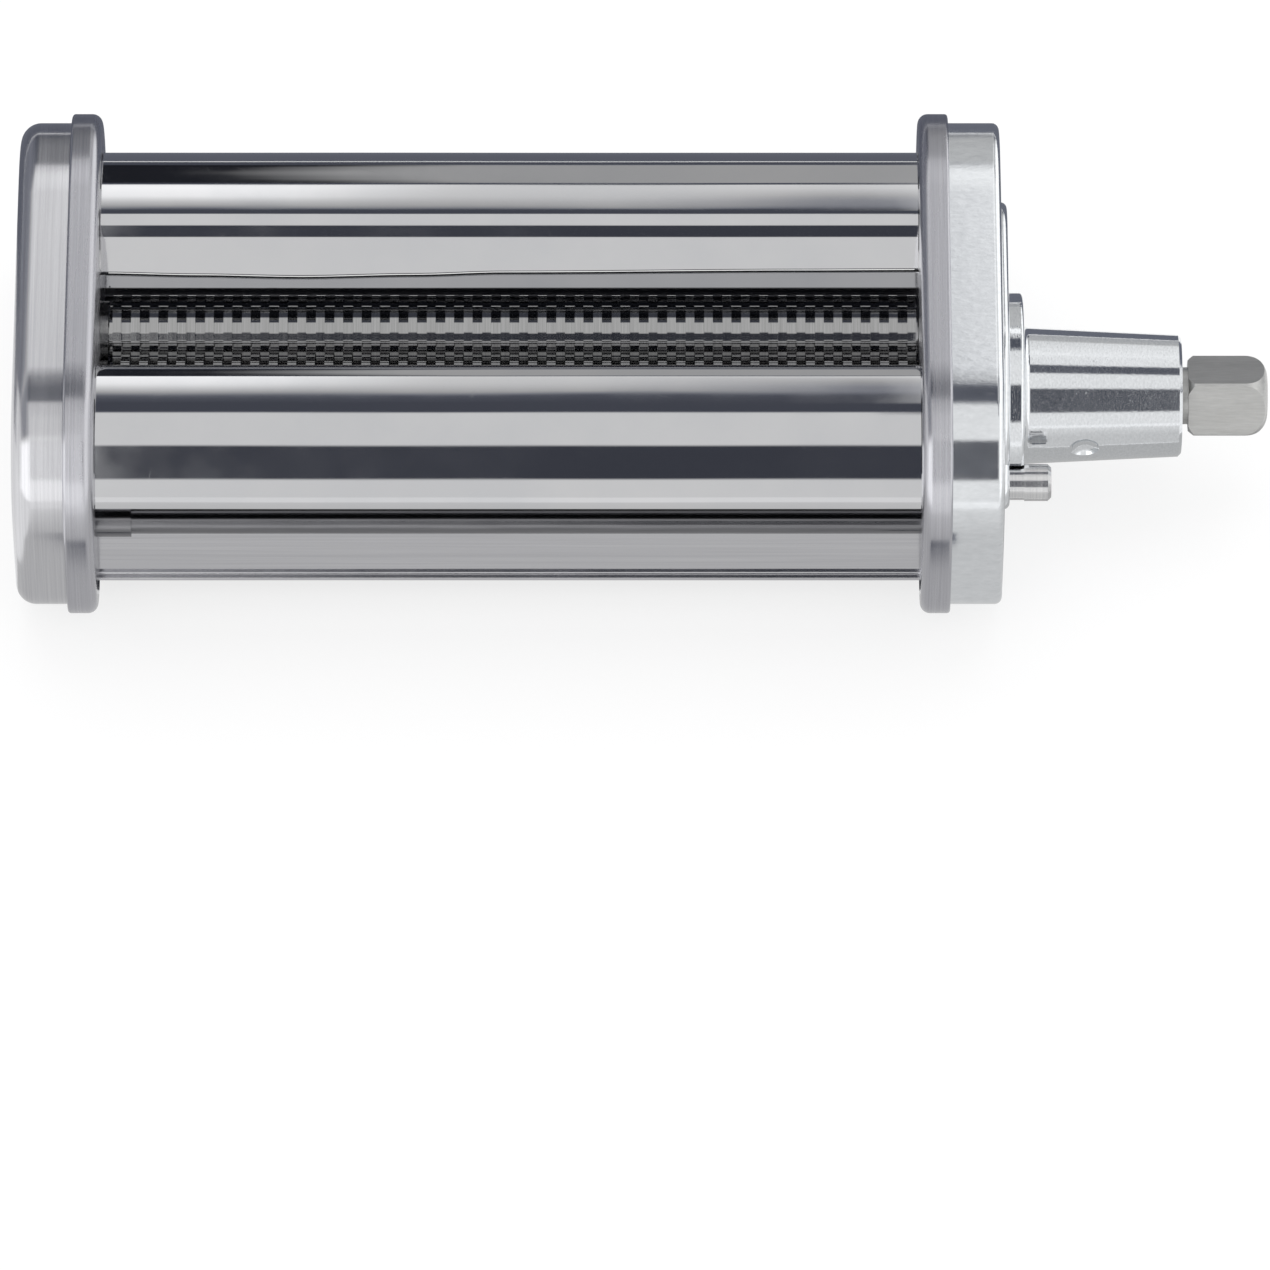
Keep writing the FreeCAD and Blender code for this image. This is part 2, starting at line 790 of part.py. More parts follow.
def hub_screws():
    """The screws that hold the hub, with their heads inside the right cap."""
    tip = -hub_screw_floor - end_play
    head = right_cap_inside - hub_screw_head_height
    return Part.makeCompound([slotted_screw(head, right_cap_inside, tip, hub_screw_head_radius,
                                            hub_screw_radius, y, z) for y, z in hub_screw_places()])


# Caps and frames


def cap_blank(face_x, rim_x, edge_radius):
    """The outer form of a cap, rounded at its face."""
    body = prism(cap_outline(0), min(face_x, rim_x), max(face_x, rim_x))
    return body.makeFillet(edge_radius, edges_at(body, face_x))


def cap_shell(body, face_x, rim_x, edge_radius):
    """A cap hollowed from its rim, with bosses for the cap screws."""
    outward = 1 if face_x > rim_x else -1
    inside = face_x - outward * cap_wall
    low, high = min(rim_x, inside), max(rim_x, inside)
    hollow = prism(cap_outline(-cap_wall), low, high)
    hollow = hollow.makeFillet(max(edge_radius - cap_wall, cap_wall / 2), edges_at(hollow, inside))
    shell = body.cut(hollow)
    bosses = [rod_x(low, high, cap_boss_radius, y, z) for y, z in cap_screw_places()]
    shell = union([shell] + bosses)
    hole_end = rim_x + outward * (cap_screw_depth + end_play)
    for y, z in cap_screw_places():
        hole = rod_x(min(rim_x, hole_end), max(rim_x, hole_end), cap_screw_radius + screw_clearance, y, z)
        shell = shell.cut(hole)
    return shell


def tangent_hull(first, first_radius, second, second_radius):
    """The outline of a belt around two circles in a section plane."""
    a, b = at(first), at(second)
    span = b - a
    heading = math.atan2(span.z, span.y)
    spread = math.acos((first_radius - second_radius) / span.Length)

    def rim(centre, radius, angle):
        return centre + Vector(0, radius * math.cos(angle), radius * math.sin(angle))

    upper, lower = heading + spread, heading - spread
    edges = [
        Part.makeLine(rim(a, first_radius, upper), rim(b, second_radius, upper)),
        Part.Arc(rim(b, second_radius, upper), rim(b, second_radius, heading),
                 rim(b, second_radius, lower)).toShape(),
        Part.makeLine(rim(b, second_radius, lower), rim(a, first_radius, lower)),
        Part.Arc(rim(a, first_radius, lower), rim(a, first_radius, heading + math.pi),
                 rim(a, first_radius, upper)).toShape(),
    ]
    return Part.Face(Part.Wire(Part.__sortEdges__(edges)))


def right_end_cap():
    """The cap over the gears, with the raised pad that carries the hub and the locating pin."""
    pad_root = right_cap_face - right_cap_edge_radius
    outline = tangent_hull((0, 0), collar_radius + pad_rim, (pad_tail_y, pad_tail_z), pad_tail_radius)
    pin_y, pin_z = pin_place()
    pad = union([prism(outline, pad_root, pad_face),
                 rod_x(pad_root, pad_face, pin_radius + pin_boss_wall, pin_y, pin_z)])
    pad = pad.makeFillet(pad_edge_radius, edges_at(pad, pad_face))
    limit = prism(cap_outline(0), pad_root, pad_face)
    limit = limit.makeFillet(pad_edge_radius, edges_at(limit, pad_face))
    blank = cap_blank(right_cap_face, right_frame_outer, right_cap_edge_radius)
    body = union([blank, pad.common(limit)])
    shell = cap_shell(body, right_cap_face, right_frame_outer, right_cap_edge_radius)
    pin_foot = pad_face - pin_seat_depth
    boss = rod_x(pin_foot, right_cap_face, pin_radius + pin_boss_wall, pin_y, pin_z)
    cap = union([shell, boss])
    cap = cap.cut(rod_x(right_cap_inside, pad_face, spigot_radius))
    cap = cap.cut(rod_x(pin_foot, pad_face, pin_seat_radius, pin_y, pin_z))
    for y, z in hub_screw_places():
        cap = cap.cut(rod_x(right_cap_inside, pad_face, hub_screw_radius + screw_clearance, y, z))
    return cap


def left_end_cap():
    """The plain cap over the left journals."""
    blank = cap_blank(left_cap_face, left_frame_outer, left_cap_edge_radius)
    return cap_shell(blank, left_cap_face, left_frame_outer, left_cap_edge_radius)


def side_frame(inner, outward, slot_pieces):
    """A side plate with seats for bushes, tie rods, cap screws, sheet tabs and comb tenons."""
    outer = inner + outward * frame_thickness
    start, end = min(inner, outer), max(inner, outer)
    plate = prism(cap_outline(frame_overhang), start, end)
    plate = plate.makeFillet(frame_inner_rounding, edges_at(plate, inner))
    plate = plate.makeFillet(frame_outer_rounding, edges_at(plate, outer))
    head_seat = inner + outward * screw_head_height
    head_low, head_high = min(inner, head_seat), max(inner, head_seat)
    cuts = [rod_x(start, end, bush_radius, y) for y in (0, rear_axis)]
    cuts += [rod_x(start, end, rod_thread_radius + rod_hole_clearance, y, z) for y, z in rod_places()]
    for y, z in cap_screw_places():
        cuts.append(rod_x(start, end, cap_screw_radius + rod_hole_clearance, y, z))
        cuts.append(rod_x(head_low, head_high, screw_head_radius + rod_hole_clearance, y, z))
    return plate.cut(cuts + slot_pieces)


def frame_slots(inner, outward):
    """All slots and pockets that a side frame has for sheets and combs."""
    slot_end = inner + outward * (tab_reach + tab_clearance)
    pocket_end = inner + outward * (comb_tenon + tab_clearance)
    slots = []
    for path, radii, thickness, windows in sheet_kinds().values():
        front = sheet_slots(path, radii, thickness, windows, min(inner, slot_end), max(inner, slot_end))
        slots += front + [to_rear(slot) for slot in front]
    slots += [comb_pocket(y, min(inner, pocket_end), max(inner, pocket_end)) for y in (0, rear_axis)]
    return slots


# Tie rods and nuts


def tie_rod(y, z):
    """A rod with shoulders on the side frames and reduced ends for the nuts."""
    reach = frame_thickness + nut_height + rod_end_reach
    thread = rod_x(left_frame_inner - reach, right_frame_inner + reach, rod_thread_radius, y, z)
    return union([rod_x(left_frame_inner, right_frame_inner, rod_radius, y, z), thread])


def rod_nut(start, y, z):
    """A hexagon nut on a rod end."""
    across = nut_flats / math.sqrt(3)
    corners = [at((y + across * math.cos(k * math.pi / 3), z + across * math.sin(k * math.pi / 3)))
               for k in range(6)]
    hexagon = prism(Part.Face(Part.makePolygon(corners + corners[:1])), start, start + nut_height)
    return hexagon.cut(rod_x(start, start + nut_height, rod_thread_radius + screw_clearance, y, z))


def rod_nuts(start):
    """The nuts outside one side frame."""
    return Part.makeCompound([rod_nut(start, y, z) for y, z in rod_places()])


def rod_sleeve(y):
    """The sleeve on the left end of an upper tie rod."""
    return ring_x(left_frame_inner, left_frame_inner + sleeve_length, sleeve_radius,
                  rod_radius + sleeve_clearance, y, rod_height)


def pieces():
    """Every piece of the attachment by its name."""
    front_rod, rear_rod = both_sides(rod_offset)
    half_tooth_turn = math.pi / gear_teeth
    parts = {
        "left_end_cap": left_end_cap(),
        "right_end_cap": right_end_cap(),
        "left_side_frame": side_frame(left_frame_inner, -1, frame_slots(left_frame_inner, -1)),
        "right_side_frame": side_frame(right_frame_inner, 1, frame_slots(right_frame_inner, 1)),
        "left_cap_screws": cap_screws(left_frame_inner, -1),
        "right_cap_screws": cap_screws(right_frame_inner, 1),
        "drive_hub": drive_hub(),
        "hub_screws": hub_screws(),
        "hub_inner_bush": hub_bush(right_cap_inside),
        "hub_outer_bush": hub_bush(shank_end - hub_bush_length),
        "locating_pin": locating_pin(),
        "drive_shaft": drive_shaft(),
        "drive_shaft_ring": retaining_ring(shaft_ring_start(), shaft_radius, 0),
        "front_cutter": front_cutter(),
        "rear_cutter": rear_cutter(),
        "front_gear": gear(0, 0.0),
        "rear_gear": gear(rear_axis, half_tooth_turn),
        "front_gear_key": key(0),
        "rear_gear_key": key(rear_axis),
        "rear_gear_ring": retaining_ring(right_ring_start(), journal_radius, rear_axis),
        "front_comb": comb(0, rear_disc_centres()),
        "rear_comb": comb(rear_axis, front_disc_centres()),
        "front_tie_rod": tie_rod(front_rod, rod_height),
        "rear_tie_rod": tie_rod(rear_rod, rod_height),
        "front_rod_sleeve": rod_sleeve(front_rod),
        "rear_rod_sleeve": rod_sleeve(rear_rod),
        "lower_tie_rods": Part.makeCompound([tie_rod(y, z) for y, z in lower_rod_places()]),
        "left_rod_nuts": rod_nuts(left_frame_outer - nut_height),
        "right_rod_nuts": rod_nuts(right_frame_outer),
    }
    for name, y in (("front", 0), ("rear", rear_axis)):
        parts[f"{name}_left_bush"] = left_bush(y)
        parts[f"{name}_right_bush"] = right_bush(y)
        parts[f"{name}_thrust_washer"] = washer(y)
        parts[f"{name}_left_ring"] = retaining_ring(left_ring_start(), journal_radius, y)
    for kind, (path, radii, thickness, windows) in sheet_kinds().items():
        sheet = sheet_piece(path, radii, thickness, windows)
        if kind == "guide":
            sheet = sheet.cut(guide_seam())
        parts[f"front_{kind}"] = sheet
        parts[f"rear_{kind}"] = to_rear(sheet)
    return parts


os.makedirs("parts", exist_ok=True)
for node, shape in pieces().items():
    shape.exportStep(f"parts/{node}.step")
    print(node, len(shape.Solids), round(shape.Volume, 1), shape.isValid())
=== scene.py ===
"""Looks of a pasta cutter attachment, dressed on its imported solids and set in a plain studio.

The attachment lies along X. The drive axis is y = 0, z = 0, the square shaft points to +X, the front
is the -Y side and the feed slot opens upwards. Lengths are in metres and angles in degrees.
"""

import logging
import math
from dataclasses import dataclass, field
from enum import Enum
from typing import Callable, ClassVar, Sequence

import bmesh
import bpy
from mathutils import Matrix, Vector


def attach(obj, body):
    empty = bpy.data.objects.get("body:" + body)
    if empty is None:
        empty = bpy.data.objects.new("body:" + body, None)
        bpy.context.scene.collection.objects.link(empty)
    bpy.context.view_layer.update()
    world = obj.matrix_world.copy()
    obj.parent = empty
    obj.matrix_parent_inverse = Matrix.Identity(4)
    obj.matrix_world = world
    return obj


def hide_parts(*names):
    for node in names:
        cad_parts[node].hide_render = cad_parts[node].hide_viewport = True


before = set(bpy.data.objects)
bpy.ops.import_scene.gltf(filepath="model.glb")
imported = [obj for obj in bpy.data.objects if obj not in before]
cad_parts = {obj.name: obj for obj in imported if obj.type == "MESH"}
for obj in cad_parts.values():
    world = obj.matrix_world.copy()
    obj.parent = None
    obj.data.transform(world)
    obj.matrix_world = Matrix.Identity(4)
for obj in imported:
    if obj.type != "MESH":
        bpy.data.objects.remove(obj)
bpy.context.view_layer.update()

LOG = logging.getLogger("pasta_cutter")
MM = 0.001
MIX_LOW, MIX_HIGH, MIX_COLOUR = 6, 7, 2  # numbers of a mix node's colour sockets

Point = tuple[float, float]
Triple = tuple[float, float, float]
Table = tuple[Point, ...]
Node = bpy.types.Node
Socket = bpy.types.NodeSocket
Piece = bpy.types.Object
Feeds = dict[str | int, object]
Layers = tuple[Socket, Socket, Socket]


class Body(Enum):
    """The body of the attachment that new pieces ride on."""

    HOUSING = "housing"


class Slot(Enum):
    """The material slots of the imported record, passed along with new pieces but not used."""

    BRIGHT_SHEET = "bright_sheet"
    SATIN_STEEL = "satin_steel"
    PLATED_HUB = "plated_hub"


class Side(Enum):
    """The side of the feed slot on which a piece or half a piece lies."""

    FRONT = "front"
    REAR = "rear"


class Effect(Enum):
    """The shared surface effects, each one shader node group."""

    BRUSH_LINES = "brush_lines"
    CAST_GRAIN = "cast_grain"
    SHEET_RIPPLE = "sheet_ripple"
    HANDLING = "handling_marks"


@dataclass(frozen=True)
class NoiseLayer:
    """A noise field: its frequency, the number of its finer layers and the share of each of them."""

    scale: float
    detail: float
    roughness: float

    def feeds(self) -> Feeds:
        """Values for the inputs of a noise node."""
        return {"Scale": self.scale, "Detail": self.detail, "Roughness": self.roughness}


class NodeBench:
    """Adds and links the nodes of one material, world or node group."""

    def __init__(self, tree: bpy.types.NodeTree) -> None:
        """Keeps the node tree that it works on."""
        self.tree = tree

    def feed(self, node: Node, feeds: Feeds) -> None:
        """Links or writes inputs of a node.

        Args:
            node: The node.
            feeds: Socket or plain value for each of the inputs, by name or number.
        """
        for key, value in feeds.items():
            if isinstance(value, bpy.types.NodeSocket):
                self.tree.links.new(value, node.inputs[key])
            else:
                node.inputs[key].default_value = value

    def add(self, kind: str, feeds: Feeds | None = None, **settings: object) -> Node:
        """Adds one node.

        Args:
            kind: Blender's type name of the node.
            feeds: Socket or plain value for each input that isn't left as it is.
            settings: Properties of the node, by name.

        Returns:
            The new node.
        """
        node = self.tree.nodes.new(kind)
        for name, value in settings.items():
            setattr(node, name, value)
        self.feed(node, feeds or {})
        return node

    def noise(self, vector: Socket, layer: NoiseLayer) -> Socket:
        """Adds a noise value of about 0 to 1."""
        feeds = {"Vector": vector, **layer.feeds()}
        return self.add("ShaderNodeTexNoise", feeds, noise_dimensions="3D").outputs["Fac"]

    def cells(self, vector: Socket, scale: float, feature: str) -> Socket:
        """Adds a pattern of cells.

        Args:
            vector: The coordinates.
            scale: Cells per unit of the coordinates.
            feature: Blender's name of the distance that is measured in it.

        Returns:
            The distance.
        """
        node = self.add("ShaderNodeTexVoronoi", feature=feature, voronoi_dimensions="3D")
        self.feed(node, {"Vector": vector, "Scale": scale})
        return node.outputs["Distance"]

    def spread(self, value: Socket, low: float, high: float, span: Point = (0.0, 1.0)) -> Socket:
        """Maps a varying value from a span to a range that the result doesn't leave."""
        feeds = {"Value": value, "From Min": span[0], "From Max": span[1], "To Min": low, "To Max": high}
        return self.add("ShaderNodeMapRange", feeds, clamp=True).outputs["Result"]

    def math(self, operation: str, first: Socket, second: Socket | float) -> Socket:
        """Combines a varying value with another value or a number."""
        return self.add("ShaderNodeMath", {0: first, 1: second}, operation=operation).outputs[0]

    def blend(self, first: Socket, second: Socket, share: float) -> Socket:
        """Adds up a share of one value and the rest of another."""
        rest = self.math("MULTIPLY", second, 1 - share)
        return self.math("ADD", self.math("MULTIPLY", first, share), rest)

    def tint(self, mask: Socket, low: Triple, high: Triple) -> Socket:
        """Turns a mask into a colour between two tones."""
        feeds = {"Factor": mask, MIX_LOW: (*low, 1.0), MIX_HIGH: (*high, 1.0)}
        return self.add("ShaderNodeMix", feeds, data_type="RGBA").outputs[MIX_COLOUR]

    def relief(self, height: Socket, depth: float) -> Socket:
        """Turns a height field into a bumped normal of a real depth."""
        feeds = {"Height": height, "Strength": 1.0, "Distance": depth}
        return self.add("ShaderNodeBump", feeds).outputs["Normal"]


def cleared(owner: bpy.types.Material | bpy.types.World) -> bpy.types.NodeTree:
    """Gives a material or a world an empty node tree.

    Args:
        owner: The material or world.

    Returns:
        The tree.
    """
    owner.use_nodes = True
    owner.node_tree.nodes.clear()
    return owner.node_tree


class SurfaceBench(NodeBench):
    """The bench of a material with one principled shader."""

    def __init__(self, name: str) -> None:
        """Starts the material.

        Args:
            name: Name of the material.
        """
        self.material = bpy.data.materials.new(name)
        super().__init__(cleared(self.material))
        self.shader = self.add("ShaderNodeBsdfPrincipled")
        self.output = self.add("ShaderNodeOutputMaterial", {"Surface": self.shader.outputs["BSDF"]})
        self.place = self.add("ShaderNodeTexCoord").outputs["Object"]


class EffectLibrary:
    """Builds each shared surface effect once and hands out its node group."""

    fine_lines = NoiseLayer(1.0, 3.0, 0.65)
    broad_lines = NoiseLayer(0.16, 2.0, 0.5)
    fine_share = 0.65
    line_span = (0.3, 0.7)
    grain = NoiseLayer(1.0, 2.0, 0.6)
    grain_span = (0.25, 0.75)
    pit_scale = 0.3
    pit_span = (0.04, 0.14)
    waves = NoiseLayer(1.0, 1.0, 0.4)
    smudges = NoiseLayer(38.0, 4.0, 0.6)
    smudge_span = (0.35, 0.7)
    wander_scale = 25.0
    wander_reach = (0.02, 0.02, 0.02)
    scratch_scale = 130.0
    scratch_span = (0.0, 0.012)
    scratch_patches = NoiseLayer(160.0, 1.0, 0.5)
    patch_span = (0.56, 0.66)

    def __init__(self) -> None:
        """Builds the groups."""
        drawings = {Effect.BRUSH_LINES: self._brush_lines, Effect.CAST_GRAIN: self._cast_grain,
                    Effect.SHEET_RIPPLE: self._sheet_ripple, Effect.HANDLING: self._handling}
        self.groups = {effect: self._group(effect, draw) for effect, draw in drawings.items()}

    def place(self, bench: SurfaceBench, effect: Effect, frequencies: Triple | None = None) -> Node:
        """Adds a shared effect to a material.

        Args:
            bench: The material's bench.
            effect: Which effect.
            frequencies: Its waves per metre along each axis, if it takes them.

        Returns:
            The group node.
        """
        feeds = {"Vector": bench.place}
        if frequencies is not None:
            feeds["Frequencies"] = frequencies
        return bench.add("ShaderNodeGroup", feeds, node_tree=self.groups[effect])

    @staticmethod
    def _group(effect: Effect, draw: Callable[[NodeBench, Socket], dict[str, Socket]],
               ) -> bpy.types.NodeTree:
        """Builds the node group of an effect, whose coordinates are stretched unless it is handling.

        Args:
            effect: The effect, which names the group.
            draw: Adds the effect's nodes and gives its outputs by name.

        Returns:
            The group.
        """
        tree = bpy.data.node_groups.new(effect.value, "ShaderNodeTree")
        stretched = effect is not Effect.HANDLING
        for name in ("Vector", "Frequencies") if stretched else ("Vector",):
            tree.interface.new_socket(name=name, in_out="INPUT", socket_type="NodeSocketVector")
        bench = NodeBench(tree)
        given = bench.add("NodeGroupInput").outputs
        vector = given["Vector"]
        if stretched:
            feeds = {0: vector, 1: given["Frequencies"]}
            vector = bench.add("ShaderNodeVectorMath", feeds, operation="MULTIPLY").outputs[0]
        values = draw(bench, vector)
        for name in values:
            tree.interface.new_socket(name=name, in_out="OUTPUT", socket_type="NodeSocketFloat")
        bench.add("NodeGroupOutput", values)
        return tree

    def _brush_lines(self, bench: NodeBench, vector: Socket) -> dict[str, Socket]:
        """Long fine lines left by a brushing belt or a turning tool.

        Args:
            bench: The group's bench.
            vector: The stretched coordinates.

        Returns:
            The lines and the broad bands among them.
        """
        broad = bench.noise(vector, self.broad_lines)
        mixed = bench.blend(bench.noise(vector, self.fine_lines), broad, self.fine_share)
        return {"Lines": bench.spread(mixed, 0.0, 1.0, self.line_span),
                "Bands": bench.spread(broad, 0.0, 1.0, self.line_span)}

    def _cast_grain(self, bench: NodeBench, vector: Socket) -> dict[str, Socket]:
        """The fine grain and the scattered pits of a casting that is polished but not mirror flat.

        Args:
            bench: The group's bench.
            vector: The stretched coordinates.

        Returns:
            The grain and the pits.
        """
        pits = bench.cells(vector, self.pit_scale, "F1")
        return {"Grain": bench.spread(bench.noise(vector, self.grain), 0.0, 1.0, self.grain_span),
                "Pits": bench.spread(pits, 1.0, 0.0, self.pit_span)}

    def _sheet_ripple(self, bench: NodeBench, vector: Socket) -> dict[str, Socket]:
        """The slow waves that rolling and polishing leave in a bright sheet."""
        return {"Height": bench.noise(vector, self.waves)}

    def _handling(self, bench: NodeBench, vector: Socket) -> dict[str, Socket]:
        """Soft wiping marks and a few hairline scratches.

        Args:
            bench: The group's bench.
            vector: The coordinates.

        Returns:
            The smudges and the scratches.
        """
        wander = bench.add("ShaderNodeTexNoise", {"Vector": vector, "Scale": self.wander_scale},
                           noise_dimensions="3D").outputs["Color"]
        bent = bench.add("ShaderNodeVectorMath", {0: wander, 1: self.wander_reach, 2: vector},
                         operation="MULTIPLY_ADD").outputs[0]
        edges = bench.cells(bent, self.scratch_scale, "DISTANCE_TO_EDGE")
        hairline = bench.spread(edges, 1.0, 0.0, self.scratch_span)
        sparse = bench.spread(bench.noise(vector, self.scratch_patches), 0.0, 1.0, self.patch_span)
        return {"Smudge": bench.spread(bench.noise(vector, self.smudges), 0.0, 1.0, self.smudge_span),
                "Scratches": bench.math("MULTIPLY", hairline, sparse)}


@dataclass(frozen=True)
class Finish:
    """A finish between two tones and two degrees of gloss, with a pattern and its real depth."""

    name: str
    shade: Triple
    light: Triple
    smooth: float
    rough: float
    pattern: Triple
    depth: float
    effect: ClassVar[Effect]
    metallic: ClassVar[float] = 1.0

    def lay(self, bench: SurfaceBench, pattern: Node, marks: Node) -> Layers:
        """Gives the colour, the dullness (0 to 1) and the height of the surface."""
        raise NotImplementedError

    def build(self, effects: EffectLibrary) -> bpy.types.Material:
        """Builds the material.

        Args:
            effects: The shared effects.

        Returns:
            The material.
        """
        bench = SurfaceBench(self.name)
        pattern = effects.place(bench, self.effect, self.pattern)
        colour, dull, height = self.lay(bench, pattern, effects.place(bench, Effect.HANDLING))
        bench.feed(bench.shader, {
            "Metallic": self.metallic, "Base Color": colour,
            "Roughness": bench.spread(dull, self.smooth, self.rough),
            "Normal": bench.relief(height, self.depth)})
        return bench.material


@dataclass(frozen=True)
class BrushedMetal(Finish):
    """Steel with brush or turning lines in one direction."""

    anisotropy: float = 0.0
    effect: ClassVar[Effect] = Effect.BRUSH_LINES
    quarter_turn: ClassVar[float] = 0.25
    band_share: ClassVar[float] = 0.65
    scratch_share: ClassVar[float] = 0.5

    def lay(self, bench: SurfaceBench, pattern: Node, marks: Node) -> Layers:
        """Lays the lines, which also spread the gloss across them where the steel is anisotropic.

        Args:
            bench: The material's bench.
            pattern: The brush lines.
            marks: The handling marks.

        Returns:
            Colour, dullness and height.
        """
        lines = pattern.outputs["Lines"]
        if self.anisotropy:
            around = bench.add("ShaderNodeTangent", direction_type="RADIAL", axis="X")
            bench.feed(bench.shader, {
                "Anisotropic": self.anisotropy, "Anisotropic Rotation": self.quarter_turn,
                "Tangent": around.outputs["Tangent"]})
        dull = bench.blend(pattern.outputs["Bands"], marks.outputs["Smudge"], self.band_share)
        scored = bench.math("MULTIPLY", marks.outputs["Scratches"], self.scratch_share)
        return bench.tint(lines, self.shade, self.light), dull, bench.math("SUBTRACT", lines, scored)


@dataclass(frozen=True)
class MirrorSheet(Finish):
    """Bright rolled sheet with slow waves, wiping marks and a few hairlines."""

    effect: ClassVar[Effect] = Effect.SHEET_RIPPLE
    scratch_share: ClassVar[float] = 0.8

    def lay(self, bench: SurfaceBench, pattern: Node, marks: Node) -> Layers:
        """Lays the waves and the marks.

        Args:
            bench: The material's bench.
            pattern: The slow waves.
            marks: The handling marks.

        Returns:
            Colour, dullness and height.
        """
        smudge = marks.outputs["Smudge"]
        scored = bench.math("MULTIPLY", marks.outputs["Scratches"], self.scratch_share)
        dull = bench.math("ADD", smudge, scored)
        return bench.tint(smudge, self.light, self.shade), dull, pattern.outputs["Height"]


@dataclass(frozen=True)
class CastMetal(Finish):
    """Cast or sintered metal: fine grain, pits and uneven polish."""

    effect: ClassVar[Effect] = Effect.CAST_GRAIN
    pit_depth: ClassVar[float] = 0.6
    pit_share: ClassVar[float] = 0.5

    def lay(self, bench: SurfaceBench, pattern: Node, marks: Node) -> Layers:
        """Lays the grain with its pits.

        Args:
            bench: The material's bench.
            pattern: The grain and the pits.
            marks: The handling marks.

        Returns:
            Colour, dullness and height.
        """
        pits = pattern.outputs["Pits"]
        # The colour is darker, the surface lower and the gloss duller where the pits are.
        sunk = bench.math("MULTIPLY", pits, self.pit_depth)
        pitted_grain = bench.math("SUBTRACT", pattern.outputs["Grain"], sunk)
        dull = bench.blend(pits, marks.outputs["Smudge"], self.pit_share)
        return bench.tint(pitted_grain, self.shade, self.light), dull, pitted_grain


@dataclass(frozen=True)
class MouldedPlastic(Finish):
    """Pale moulded plastic with a fine spark-eroded skin."""

    effect: ClassVar[Effect] = Effect.CAST_GRAIN
    metallic: ClassVar[float] = 0.0

    def lay(self, bench: SurfaceBench, pattern: Node, marks: Node) -> Layers:
        """Lays the skin's grain and the wiping marks."""
        grain = pattern.outputs["Grain"]
        return bench.tint(marks.outputs["Smudge"], self.light, self.shade), grain, grain


SATIN_STEEL = BrushedMetal(
    "brushed_cap", (0.53, 0.53, 0.55), (0.67, 0.67, 0.69), 0.18, 0.24,
    (2600.0, 22.0, 22.0), 0.004 * MM, 0.9)
FRAME_STEEL = BrushedMetal(
    "brushed_frame", (0.44, 0.44, 0.47), (0.57, 0.57, 0.60), 0.24, 0.30,
    (2600.0, 22.0, 22.0), 0.004 * MM, 0.7)
BRIGHT_SHEET = MirrorSheet(
    "mirror_sheet", (0.57, 0.575, 0.59), (0.61, 0.61, 0.62), 0.03, 0.08, (14.0, 60.0, 60.0), 0.01 * MM)
APRON_SHEET = BrushedMetal(
    "brushed_apron", (0.54, 0.54, 0.56), (0.66, 0.66, 0.68), 0.08, 0.16, (14.0, 900.0, 900.0), 0.005 * MM)
CAST_POLISH = CastMetal(
    "polished_casting", (0.72, 0.74, 0.76), (0.84, 0.86, 0.88), 0.07, 0.14,
    (2600.0, 1500.0, 1500.0), 0.004 * MM)
CAP_POLISH = CastMetal(
    "polished_cap", (0.73, 0.75, 0.77), (0.82, 0.84, 0.86), 0.10, 0.18, (420.0, 900.0, 900.0), 0.003 * MM)
PIN_STEEL = BrushedMetal(
    "turned_pin", (0.62, 0.62, 0.63), (0.78, 0.78, 0.78), 0.10, 0.18, (3200.0, 30.0, 30.0), 0.004 * MM)
CUTTER_STEEL = BrushedMetal(
    "turned_cutter", (0.32, 0.32, 0.32), (0.44, 0.44, 0.44), 0.06, 0.10, (5200.0, 40.0, 40.0), 0.0005 * MM)
SHAFT_STEEL = BrushedMetal(
    "machined_shaft", (0.46, 0.46, 0.45), (0.58, 0.58, 0.57), 0.34, 0.46,
    (300.0, 2200.0, 2200.0), 0.006 * MM)
ZINC_STEEL = BrushedMetal(
    "plated_steel", (0.52, 0.53, 0.55), (0.66, 0.67, 0.69), 0.12, 0.22, (40.0, 1200.0, 1200.0), 0.003 * MM)
ROD_STEEL = BrushedMetal(
    "dark_rod", (0.15, 0.15, 0.16), (0.22, 0.22, 0.23), 0.16, 0.24, (60.0, 1400.0, 1400.0), 0.003 * MM)
BUSH_METAL = CastMetal(
    "sintered_bush", (0.18, 0.18, 0.18), (0.30, 0.30, 0.30), 0.14, 0.24,
    (3600.0, 3600.0, 3600.0), 0.004 * MM)
COMB_PLASTIC = MouldedPlastic(
    "moulded_comb", (0.72, 0.72, 0.69), (0.80, 0.80, 0.78), 0.42, 0.58,
    (4200.0, 4200.0, 4200.0), 0.008 * MM)


Dressing = tuple[tuple[Finish, tuple[str, ...]], ...]


class FinishShop:
    """Builds each finish once and puts it on pieces."""

    def __init__(self, effects: EffectLibrary) -> None:
        """Keeps the shared effects and starts with no finish built."""
        self.effects = effects
        self.built: dict[str, bpy.types.Material] = {}

    def apply(self, finish: Finish, piece: Piece) -> None:
        """Puts a finish on every material slot of a piece.

        Args:
            finish: The finish.
            piece: The piece.
        """
        if finish.name not in self.built:
            self.built[finish.name] = finish.build(self.effects)
        if not piece.material_slots:
            piece.data.materials.append(None)
        for slot in piece.material_slots:
            slot.material = self.built[finish.name]
        LOG.info("%s: %s", piece.name, finish.name)


def turned(vector: Vector, angle: float) -> Vector:
    """Turns a section vector (y, z) by radians, anticlockwise with y to the right and z up."""
    c, s = math.cos(angle), math.sin(angle)
    return Vector((vector.x * c - vector.y * s, vector.x * s + vector.y * c))


def left_of(way: Vector) -> Vector:
    """The section vector a quarter turn anticlockwise from another."""
    return Vector((-way.y, way.x))


